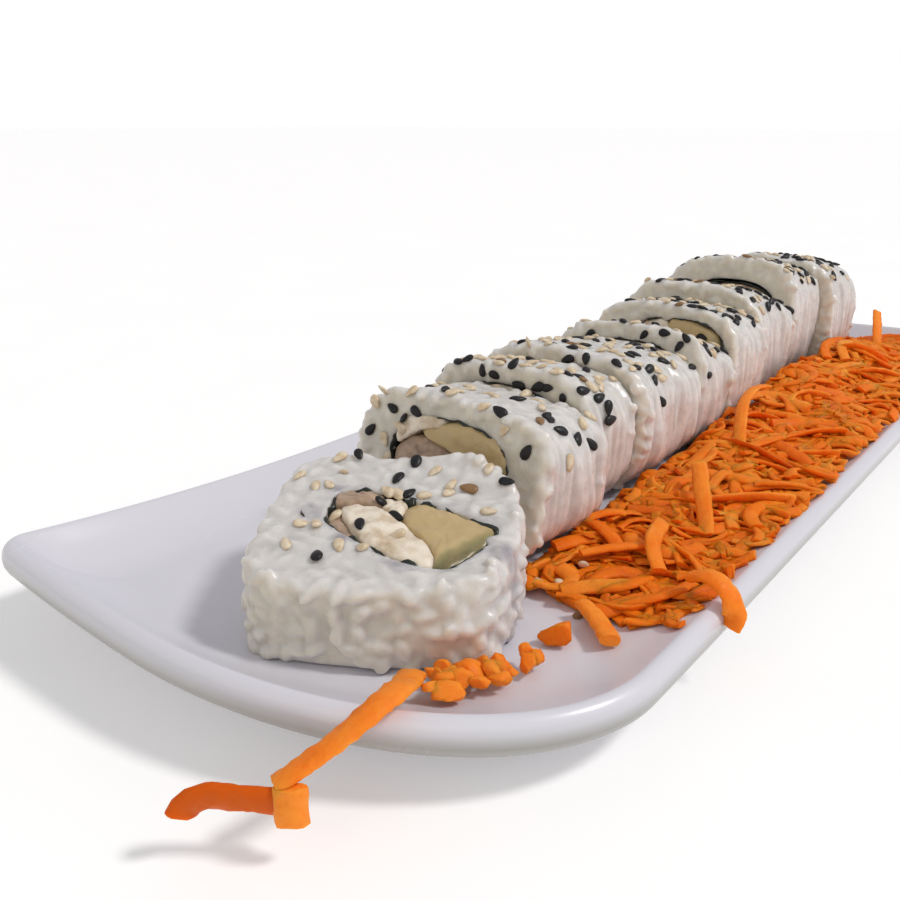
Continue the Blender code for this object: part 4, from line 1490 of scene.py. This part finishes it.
def heap_paths(number, draw, length_range, wide_range, raised):
    """Where the grated strips of the heap run."""
    paths = []
    while len(paths) < number:
        y = draw.uniform(-86.0, 131.0)
        if y < -66 and draw.random() < 0.3:
            continue
        x = draw.uniform(18.5, 49.5)
        length = draw.uniform(*length_range)
        heading = draw.gauss(0.75, 0.9)
        bend = draw.gauss(0.0, 0.8)
        lift = draw.uniform(-0.9, 0.5) + raised
        tilt = draw.gauss(0.0, 0.6)
        arch = draw.uniform(-0.3, 0.8) + raised
        count = max(4, int(length / 2.2) + 1)
        flat = []
        for step in range(count):
            share = step / (count - 1) - 0.5
            angle = heading + bend * share
            px = x + math.cos(angle) * length * share
            py = y + math.sin(angle) * length * share
            px = max(18.0, min(51.0, px))
            py = max(-87.0, min(132.0, py))
            flat.append((px, py, share))
        bases = [floor_at(px, py) + heap_top(px, py) for px, py, share in flat]
        mean = sum(bases) / count
        line = []
        for (px, py, share), base in zip(flat, bases):
            z = 0.7 * base + 0.3 * mean + lift + tilt * share * 2 + arch * (1 - 4 * share * share)
            line.append((px, py, max(z, floor_at(px, py) + 0.3)))
        roll = draw.gauss(0.0, 0.35)
        clump = 0.5 + 0.7 * noise.noise(Vector((x * 0.09, y * 0.09, 5.0)))
        tone = max(0.0, min(1.0, 0.5 * clump + 0.5 * draw.random()))
        paths.append((line, draw.uniform(*wide_range), (roll, roll + draw.gauss(0.0, 0.5)), tone))
    return paths


HEART_SHARES = (0.98, 0.93, 0.86, 0.79, 0.72, 0.65, 0.58, 0.51, 0.44, 0.37, 0.3, 0.23, 0.16, 0.09, 0.03)


def heap_heart():
    """The low closed mass under the shreds."""
    rings = []
    for step in range(140):
        y = -79.0 + step * 206.0 / 139
        taper = min(1.0, (step + 0.5) / 16, (139.6 - step) / 12)
        near = 21.5 + 4.0 * (1 - taper)
        far = near + (25.5 + 2.0 * math.sin(y / 6.0)) * (0.35 + 0.65 * taper)
        band = []
        for share in (0.0, 0.33, 0.66, 1.0):
            x = near + share * (far - near)
            band.append((x, y, floor_at(x, y)))
        for share in HEART_SHARES:
            x = near + share * (far - near)
            high = max(0.5, heap_top(x, y) * (0.4 + 0.6 * taper) - 0.7)
            high += 0.9 * noise.noise(Vector((x * 0.35, y * 0.35, 2.0)))
            band.append((x, y, floor_at(x, y) + max(0.4, high if share < 0.95 else 0.6)))
        rings.append(band)
    return turned_out(from_data("carrot_heart", *lofted(rings)))


# Strips that stand out of the heap: line, width share.
NOTABLE = (
    (((31.5, -37.5, 19.6), (33.0, -40.0, 18.6), (35.6, -44.5, 16.2), (38.4, -48.8, 13.6),
      (40.2, -52.4, 11.6)), 1.0),
    (((24.5, 21.0, 21.6), (23.6, 14.0, 22.4), (24.6, 5.0, 21.4), (27.4, -4.0, 18.6),
      (31.0, -13.0, 15.0)), 0.9),
    (((28.6, -86.0, 10.4), (31.0, -83.6, 10.8), (34.0, -81.0, 11.0), (37.5, -78.4, 10.9)), 0.9),
    (((31.0, 104.0, 17.0), (29.4, 109.0, 20.4), (28.0, 113.0, 23.4), (26.5, 117.0, 26.0)), 1.0),
    (((40.0, -72.0, 12.2), (37.0, -68.5, 13.6), (35.0, -64.0, 14.4), (33.6, -58.0, 14.6)), 0.8),
)


def make_heap(look, finish, tree):
    draw = random.Random(23)
    fine = look.shreds
    width = look.width / MM
    thickness = look.thickness / MM
    batches = (
        ("grated_carrot", ["carrot_heap"], heap_paths(fine, draw, (4.0, 12.0), (0.6, 1.4), 0.0),
         width, thickness, 1.5, 6),
        ("carrot_strips", [], heap_paths(fine // 9, draw, (9.0, 22.0), (0.8, 1.2), 0.5),
         width * 1.35, thickness * 1.5, 1.3, 8),
    )
    for name, nodes, paths, wide, thick, step, sides in batches:
        if not nodes:
            for line, share in NOTABLE:
                paths.append((line, share, (0.2, 0.5), 0.8))
        lines = strip_lines(name, paths)
        values = {
            "Width": wide,
            "Thickness": thick,
            "Step": step,
            "Sides": sides,
            "Rough": 0.42,
            "Rough Size": 1.5,
            "Material": finish,
        }
        grown(lines, tree, values)
        settled(lines, nodes, finish)
    heart = heap_heart()
    tone = heart.data.attributes.new("tone", "FLOAT", "POINT")
    tone.data.foreach_set("value", [0.35] * len(heart.data.vertices))
    settled(heart, [], finish)


def chopped(centre, size, seed, detail=3):
    """A small chopped lump with flattish cut sides, standing on its flat underside."""
    lump = bmesh.new()
    bmesh.ops.create_icosphere(lump, subdivisions=detail, radius=1.0)
    draw = random.Random(seed)
    planes = []
    for _ in range(10):
        way = Vector((draw.gauss(0, 1), draw.gauss(0, 1), draw.gauss(0, 0.8))).normalized()
        planes.append((way, draw.uniform(0.4, 0.8)))
    for vertex in lump.verts:
        point = vertex.co.copy()
        for way, far in planes:
            over = point.dot(way) - far
            if over > 0:
                point -= way * over * 0.95
        point += point * 0.12 * noise.noise(point * 1.7 + Vector((seed, 0, 0)))
        point += point * 0.12 * noise.noise(point * 5.5 + Vector((seed, 3, 0)))
        x = centre[0] + point.x * size[0] * 1.12
        y = centre[1] + point.y * size[1] * 1.12
        z = centre[2] + max(point.z, -0.62) * size[2] * 1.05
        vertex.co = (x, y, z)
    points = [vertex.co.copy() for vertex in lump.verts]
    faces = [tuple(vertex.index for vertex in face.verts) for face in lump.faces]
    lump.free()
    return points, faces


def lump_piece(name, lumps, tone):
    points = []
    faces = []
    for centre, size, seed in lumps:
        start = len(points)
        more_points, more_faces = chopped(centre, size, seed)
        points.extend(more_points)
        faces.extend(tuple(start + corner for corner in face) for face in more_faces)
    obj = turned_out(from_data(name, points, faces))
    attribute = obj.data.attributes.new("tone", "FLOAT", "POINT")
    attribute.data.foreach_set("value", [tone] * len(obj.data.vertices))
    return obj


# Long shred: its run over the rim, the flap where it folds, and the end that stands on edge.
LONG_RUN = (
    (25.5, -121.7, 11.4), (28.6, -127.0, 13.9), (31.1, -131.3, 16.5), (31.3, -136.4, 16.2),
    (29.7, -141.2, 13.8), (27.9, -145.2, 11.9), (26.3, -148.4, 10.3),
)
LONG_FLAP = ((28.7, -148.0, 10.9), (28.9, -148.2, 9.4), (29.1, -148.35, 7.8), (29.2, -148.45, 6.0))
LONG_END = (
    (28.2, -147.9, 8.3), (25.4, -149.9, 8.6), (22.6, -151.9, 8.9), (20.0, -153.9, 9.0), (18.2, -155.5, 7.9),
    (17.7, -156.1, 6.7),
)
RIM_RUN = (
    (47.6, -75.8, 15.2), (50.0, -76.4, 16.3), (52.6, -76.9, 16.1), (54.6, -77.2, 14.3), (55.7, -77.7, 11.8),
    (55.6, -78.3, 9.6),
)
STICK_RUN = ((42.8, -94.6), (39.8, -91.8), (36.8, -89.4), (34.0, -87.6))

# Chopped bits: x, y, half sizes.
BITS = (
    (30.4, -121.4, 2.3, 2.5, 1.9),
    (29.2, -118.8, 1.8, 1.9, 2.0),
    (32.2, -116.4, 3.1, 2.5, 2.0),
    (34.9, -112.9, 2.4, 1.9, 1.7),
    (32.6, -111.4, 2.5, 1.9, 2.0),
    (35.6, -106.4, 1.8, 2.0, 2.2),
    (27.4, -117.4, 2.2, 1.9, 1.7),
)


def make_loose(finish, tree):
    lumps = []
    for index, (x, y, wide, deep, high) in enumerate(BITS):
        for crumb in range(3):
            aside = 2.1 * crumb + index
            centre_x = x + 0.62 * wide * math.cos(aside)
            centre_y = y + 0.62 * deep * math.sin(aside)
            size = tuple((0.94 - 0.17 * crumb) * half for half in (wide, deep, high))
            centre = (centre_x, centre_y, floor_at(x + 1.0, y - 1.0) + 0.5 * high + 0.3 + 0.35 * crumb)
            lumps.append((centre, size, 40 + 3 * index + crumb))
    settled(lump_piece("chopped_carrot", lumps, 0.8), ["carrot_bits"], finish)
    z = floor_at(37.0, -97.5) + 0.2
    chunk = lump_piece("carrot_knob", [((35.2, -97.6, z + 1.75), (3.2, 2.7, 2.4), 9)], 0.5)
    settled(chunk, ["carrot_chunk"], finish)
    base = floor_at(38.0, -91.0) + 2.0
    stick = [(x, y, base) for x, y in STICK_RUN]
    folded = (
        (LONG_RUN, 1.0, (0.0, 0.25), 0.85),
        (LONG_FLAP, (1.5, 0.85), (0.0, 0.0), 1.0),
        (LONG_END, 1.0, (1.45, 1.3), -0.25),
    )
    strips = (
        ("stout_shred", "carrot_stick", 3.6, 2.1, ((stick, 1.0, (0.1, 0.3), 0.9),)),
        ("long_shred", "carrot_long_shred", 4.3, 1.9, folded),
        ("rim_shred", "carrot_rim_shred", 4.1, 1.7, ((RIM_RUN, 1.0, (0.0, 0.15), 0.8),)),
    )
    for name, node, wide, thick, paths in strips:
        lines = strip_lines(name, paths, 0.95)
        values = {
            "Width": wide,
            "Thickness": thick,
            "Step": 0.6,
            "Sides": 14,
            "Rough": 0.4,
            "Rough Size": 1.5,
            "Material": finish,
        }
        grown(lines, tree, values)
        settled(lines, [node], finish)


# Plate.


def well_rings():
    """Rings of the upper face, from the lip inwards to the middle line of the plate."""
    edge = plate_outline(0.0)
    outline = np.array(edge)
    rims = np.array([rim_height(x, y) for x, y in edge])
    start = np.array(plate_outline(2.4))
    middle = np.stack([np.zeros(len(start)), np.clip(start[:, 1], -88.0, 88.0)], axis=1)
    shares = [0.0115 * step for step in range(26)] + [0.33, 0.4, 0.5, 0.64, 0.8, 0.97]
    levels = []
    for share in shares:
        places = start + (middle - start) * share
        away = np.hypot(places[:, None, 0] - outline[None, :, 0], places[:, None, 1] - outline[None, :, 1])
        insets = away.min(axis=1)
        nearest = rims[away.argmin(axis=1)]
        heights = [well_height(inset, rim) for inset, rim in zip(insets, nearest)]
        levels.append((places, np.array(heights)))
    heights = np.stack([level[1] for level in levels])
    for _ in range(9):
        heights[1:-1] = (heights[:-2] + 2 * heights[1:-1] + heights[2:]) / 4
    rings = []
    for (places, _), row in zip(levels, heights):
        rings.append([(x, y, z) for (x, y), z in zip(places.tolist(), row.tolist())])
    return rings


# Underside and wall of the plate, from the middle of the foot out and up to the lip.
PLATE_UNDER = (
    ("foot", 50.0, 2.2), ("foot", FOOT_INSET + 12.0, 2.2), ("foot", FOOT_INSET + 5.6, 2.0),
    ("foot", FOOT_INSET + 5.0, 0.3), ("foot", FOOT_INSET + 4.4, 0.0), ("foot", FOOT_INSET + 0.6, 0.0),
    ("foot", FOOT_INSET, 0.15), ("foot", FOOT_INSET - 0.7, 0.7), ("foot", FOOT_INSET - 1.4, 1.5),
    ("foot", FOOT_INSET - 2.2, 2.5), ("low", 16.5, 8.7), ("low", 13.0, 8.5), ("low", 9.5, 8.2),
    ("low", 6.0, 7.7), ("low", 3.2, 7.0), ("low", 1.6, 6.2), ("low", 0.6, 5.2), ("low", 0.1, 4.0),
    ("low", 0.0, 2.8), ("low", 0.18, 1.8), ("low", 0.6, 0.95), ("low", 1.2, 0.4), ("low", 1.8, 0.1),
)


# Least thickness of the plate, where its underside begins, and how much painted shade darkens the underside.
WALL = 2.4
LOWEST_WALL = 2.5
UNDER_FROM = 3.0
UNDER_PAINTED_SHADE = 0.3


def make_plate(finish):
    rings = []
    dull = []
    for kind, inset, drop in PLATE_UNDER:
        band = []
        for (x, y), (rim_x, rim_y) in zip(plate_outline(inset), plate_outline(0.0)):
            rim = rim_height(rim_x, rim_y)
            if kind == "foot":
                z = drop
            elif inset > UNDER_FROM:
                z = max(min(rim - drop, well_height(inset, rim) - WALL), LOWEST_WALL)
            else:
                z = rim - drop
            band.append((x, y, z))
        rings.append(band)
        # Painted shade: a dark band on the lower outer wall, and lighter painted shade over the foot and
        # underside.
        wall = kind == "low" and inset < 2.0
        share = min(max((drop - 1.3) / 2.4, 0.0), 1.0) if wall else UNDER_PAINTED_SHADE
        dull.extend([share] * len(band))
    rings.extend(well_rings())
    plate = turned_out(from_data("oblong_plate", *lofted(rings)))
    dull.extend([0.0] * (len(plate.data.vertices) - len(dull)))
    plate.data.attributes.new("dull", "FLOAT", "POINT").data.foreach_set("value", dull)
    return settled(plate, ["plate"], finish)


# Stage.


def far_light(name, way, spread, strength, colour):
    """A light from far off, as wide in the sky as spread in degrees."""
    light = bpy.data.lights.new(name, "SUN")
    light.angle = math.radians(spread)
    light.energy = strength
    light.color = colour
    lamp = bpy.data.objects.new(name, light)
    lamp.location = way
    lamp.rotation_euler = Vector(way).to_track_quat("Z", "Y").to_euler()
    bpy.context.scene.collection.objects.link(lamp)


def studio_world(strength):
    """Soft light from all round, seen by the camera as plain white."""
    world = bpy.data.worlds.new("studio")
    world.use_nodes = True
    sky = Nodes(world.node_tree)
    around = world.node_tree.nodes["Background"]
    sky.put(around.inputs["Color"], (0.965, 0.96, 1.0, 1.0))
    sky.put(around.inputs["Strength"], strength)
    seen = sky.node("ShaderNodeBackground", None, {"Color": (1.0, 1.0, 1.0, 1.0), "Strength": 1.0})
    ray = sky.node("ShaderNodeLightPath")
    either = sky.node("ShaderNodeMixShader", None, {0: ray.outputs["Is Camera Ray"], 1: around.outputs[0]})
    sky.put(either.inputs[2], seen.outputs[0])
    sky.put(world.node_tree.nodes["World Output"].inputs["Surface"], either.outputs[0])
    bpy.context.scene.world = world


def make_stage(look):
    floor = from_data("floor", [(-9, -9, 0), (9, -9, 0), (9, 9, 0), (-9, 9, 0)], [(0, 1, 2, 3)])
    cloth = Finish("pale floor", roughness=0.8)
    faint = tuple(0.98 * channel for channel in look.floor)
    cloth.colour(cloth.mix(cloth.spread(cloth.noise(60.0), 0.3, 0.7), tuple(look.floor), faint))
    cloth.shader.inputs["Emission Color"].default_value = (1.0, 1.0, 1.0, 1.0)
    cloth.shader.inputs["Emission Strength"].default_value = look.glow
    floor.data.materials.append(cloth.made)
    studio_world(look.surround)
    far_light("key", (0.50, 0.30, 0.70), 11.0, look.key, (1.0, 0.985, 0.96))
    far_light("fill", (0.15, -0.8, 0.45), 60.0, look.fill, (1.0, 0.93, 0.72))
    eye = bpy.data.cameras.new("view")
    eye.sensor_width = SENSOR
    eye.lens = SENSOR * FOCAL / IMAGE
    eye.clip_start = 0.005
    camera = bpy.data.objects.new("view", eye)
    forward, right, up = eye_axes()
    camera.location = Vector(EYE) * MM
    camera.rotation_euler = Matrix((right, up, -forward)).transposed().to_euler()
    bpy.context.scene.collection.objects.link(camera)
    bpy.context.scene.camera = camera
    bpy.context.scene.view_settings.view_transform = "Standard"


# Settings.


def colour_setting(name, description, default):
    return bpy.props.FloatVectorProperty(
        name=name, description=description, default=default, size=3, subtype="COLOR", min=0.0, max=1.0
    )


def length_setting(name, description, default):
    return bpy.props.FloatProperty(
        name=name, description=description, default=default, unit="LENGTH", precision=5, min=0.0
    )


class ROLL_plate_look(bpy.types.PropertyGroup):
    """How the plate looks."""

    colour: colour_setting("Glaze", "Colour of the plate's glaze", (0.70, 0.69, 0.75))
    specks: bpy.props.FloatProperty(
        name="Specks",
        description="Strength of the small specks under the glaze",
        default=0.8,
        subtype="FACTOR",
    )


class ROLL_rice_look(bpy.types.PropertyGroup):
    """How the rice looks."""

    colour: colour_setting("Rice", "Colour of the rice", (0.615, 0.595, 0.575))
    seaweed_tint: colour_setting("Tinted rice", "Colour of the rice beside the seaweed", (0.27, 0.25, 0.29))
    grain_length: length_setting("Grain length", "Length of a cooked grain", 0.0056)
    grain_width: length_setting("Grain width", "Width of a cooked grain", 0.0026)
    spacing: length_setting("Spacing", "Least distance between grains", 0.0023)
    voxel: length_setting("Fineness", "Size of the cells that meld the grains", 0.00045)
    stain_width: length_setting("Stain", "How far the seaweed colours the rice round it", 0.0032)


class ROLL_nori_look(bpy.types.PropertyGroup):
    """How the seaweed looks."""

    colour: colour_setting("Seaweed", "Colour of the seaweed", (0.010, 0.014, 0.011))
    thickness: bpy.props.FloatProperty(
        name="Thickness", description="Thickness against the plain ring", default=1.0, subtype="FACTOR"
    )
    crinkle: bpy.props.FloatProperty(
        name="Crinkle", description="How far the seaweed wanders", default=1.0, subtype="FACTOR"
    )


class ROLL_filling_look(bpy.types.PropertyGroup):
    """How the fillings look."""

    cheese: colour_setting("Cheese", "Colour of the soft cheese", (0.86, 0.77, 0.64))
    cheese_smear: colour_setting("Smeared cheese", "Colour of the stained cheese", (0.56, 0.42, 0.27))
    flesh: colour_setting("Avocado", "Colour of the avocado's middle", (0.55, 0.41, 0.205))
    flesh_edge: colour_setting("Avocado edge", "Colour of the avocado near its skin", (0.31, 0.265, 0.115))
    rind: colour_setting("Avocado skin side", "Colour of the avocado at its skin", (0.155, 0.14, 0.06))
    chicken: colour_setting("Chicken", "Colour of the chicken", (0.34, 0.235, 0.165))
    chicken_pale: colour_setting("Pale chicken", "Colour of the chicken's paler fibres", (0.52, 0.37, 0.26))


class ROLL_sesame_look(bpy.types.PropertyGroup):
    """How the sesame looks."""

    length: length_setting("Length", "Length of a seed", 0.0032)
    width: length_setting("Width", "Width of a seed", 0.0019)
    thickness: length_setting("Thickness", "Thickness of a seed", 0.0010)
    black: colour_setting("Black seed", "Colour of the black seeds", (0.006, 0.006, 0.008))
    pale: colour_setting("Pale seed", "Colour of the pale seeds", (0.60, 0.45, 0.28))
    brown: colour_setting("Brown seed", "Colour of the toasted seeds", (0.22, 0.12, 0.05))


class ROLL_carrot_look(bpy.types.PropertyGroup):
    """How the grated carrot looks."""

    colour: colour_setting("Carrot", "Colour of the carrot", (0.88, 0.185, 0.006))
    deep: colour_setting("Deep carrot", "Colour of the carrot's darker parts", (0.62, 0.105, 0.002))
    pale: colour_setting("Pale carrot", "Colour of the carrot's lighter parts", (0.98, 0.33, 0.04))
    shreds: bpy.props.IntProperty(name="Shreds", description="Number of grated strips", default=1350, min=1)
    width: length_setting("Width", "Usual width of a strip", 0.0024)
    thickness: length_setting("Thickness", "Usual thickness of a strip", 0.0008)


class ROLL_stage_look(bpy.types.PropertyGroup):
    """How the stage is lit."""

    floor: colour_setting("Floor", "Colour of the floor", (0.97, 0.97, 0.97))
    key: bpy.props.FloatProperty(name="Key light", description="Strength of the main light", default=1.55)
    fill: bpy.props.FloatProperty(name="Fill light", description="Strength of the fill light", default=0.4)
    surround: bpy.props.FloatProperty(
        name="Surround", description="Strength of the light all round", default=0.5
    )
    glow: bpy.props.FloatProperty(
        name="Floor glow", description="Light given by the floor itself", default=0.14
    )


class ROLL_settings(bpy.types.PropertyGroup):
    """All settings of the roll platter."""

    plate: bpy.props.PointerProperty(name="Plate", description="Plate settings", type=ROLL_plate_look)
    rice: bpy.props.PointerProperty(name="Rice", description="Rice settings", type=ROLL_rice_look)
    nori: bpy.props.PointerProperty(name="Seaweed", description="Seaweed settings", type=ROLL_nori_look)
    filling: bpy.props.PointerProperty(
        name="Fillings", description="Filling settings", type=ROLL_filling_look
    )
    sesame: bpy.props.PointerProperty(name="Sesame", description="Sesame settings", type=ROLL_sesame_look)
    carrot: bpy.props.PointerProperty(name="Carrot", description="Carrot settings", type=ROLL_carrot_look)
    stage: bpy.props.PointerProperty(name="Stage", description="Stage settings", type=ROLL_stage_look)


# Operators.


class ROLL_OT_stage(bpy.types.Operator):
    """Makes the floor, the lights and the camera."""

    bl_idname = "roll.stage"
    bl_label = "Stage"

    def execute(self, context):
        make_stage(context.scene.roll.stage)
        return {"FINISHED"}


class ROLL_OT_plate(bpy.types.Operator):
    """Makes the oblong plate."""

    bl_idname = "roll.plate"
    bl_label = "Plate"

    def execute(self, context):
        look = context.scene.roll.plate
        make_plate(glaze_finish(look))
        return {"FINISHED"}


class ROLL_OT_rice(bpy.types.Operator):
    """Makes the pressed rice of the nine slices."""

    bl_idname = "roll.rice"
    bl_label = "Rice"

    def execute(self, context):
        look = context.scene.roll.rice
        make_rice(look, rice_finish(look))
        return {"FINISHED"}


class ROLL_OT_seaweed(bpy.types.Operator):
    """Makes the rings of seaweed."""

    bl_idname = "roll.seaweed"
    bl_label = "Seaweed"

    def execute(self, context):
        look = context.scene.roll.nori
        make_nori(look, nori_finish(look))
        return {"FINISHED"}


class ROLL_OT_fillings(bpy.types.Operator):
    """Makes the cheese, the avocado and the chicken."""

    bl_idname = "roll.fillings"
    bl_label = "Fillings"

    def execute(self, context):
        look = context.scene.roll.filling
        make_fillings(cheese_finish(look), avocado_finish(look), chicken_finish(look))
        return {"FINISHED"}


class ROLL_OT_sesame(bpy.types.Operator):
    """Scatters the sesame seeds over the rice."""

    bl_idname = "roll.sesame"
    bl_label = "Sesame"

    def execute(self, context):
        look = context.scene.roll.sesame
        finishes = {
            "black": seed_finish("black sesame", tuple(look.black), (0.012, 0.009, 0.009), 0.12),
            "pale": seed_finish("pale sesame", tuple(look.pale), (0.78, 0.68, 0.52), 0.25),
            "brown": seed_finish("toasted sesame", tuple(look.brown), (0.30, 0.17, 0.07), 0.25),
        }
        make_sesame(look, finishes)
        return {"FINISHED"}


class ROLL_OT_carrot(bpy.types.Operator):
    """Makes the heap of grated carrot and the loose pieces round it."""

    bl_idname = "roll.carrot"
    bl_label = "Carrot"

    def execute(self, context):
        look = context.scene.roll.carrot
        finish = carrot_finish(look)
        tree = shred_tree()
        make_heap(look, finish, tree)
        make_loose(finish, tree)
        return {"FINISHED"}


class ROLL_PT_panel(bpy.types.Panel):
    """Lists the pieces of the platter and their settings."""

    bl_label = "Roll platter"
    bl_idname = "ROLL_PT_panel"
    bl_space_type = "VIEW_3D"
    bl_region_type = "UI"
    bl_category = "Roll platter"

    def draw(self, context):
        for operator, settings in STEPS:
            box = self.layout.box()
            box.operator("roll." + operator)
            group = getattr(context.scene.roll, settings)
            for name in group.bl_rna.properties.keys():
                if name not in ("rna_type", "name"):
                    box.prop(group, name)


STEPS = (
    ("stage", "stage"),
    ("plate", "plate"),
    ("rice", "rice"),
    ("seaweed", "nori"),
    ("fillings", "filling"),
    ("carrot", "carrot"),
    ("sesame", "sesame"),
)

CLASSES = (
    ROLL_plate_look,
    ROLL_rice_look,
    ROLL_nori_look,
    ROLL_filling_look,
    ROLL_sesame_look,
    ROLL_carrot_look,
    ROLL_stage_look,
    ROLL_settings,
    ROLL_OT_stage,
    ROLL_OT_plate,
    ROLL_OT_rice,
    ROLL_OT_seaweed,
    ROLL_OT_fillings,
    ROLL_OT_sesame,
    ROLL_OT_carrot,
    ROLL_PT_panel,
)


def register():
    for made in CLASSES:
        bpy.utils.register_class(made)
    bpy.types.Scene.roll = bpy.props.PointerProperty(type=ROLL_settings)


def unregister():
    del bpy.types.Scene.roll
    for made in reversed(CLASSES):
        bpy.utils.unregister_class(made)


def main():
    register()
    for operator, _ in STEPS:
        getattr(bpy.ops.roll, operator)()


if __name__ == "__main__":
    main()
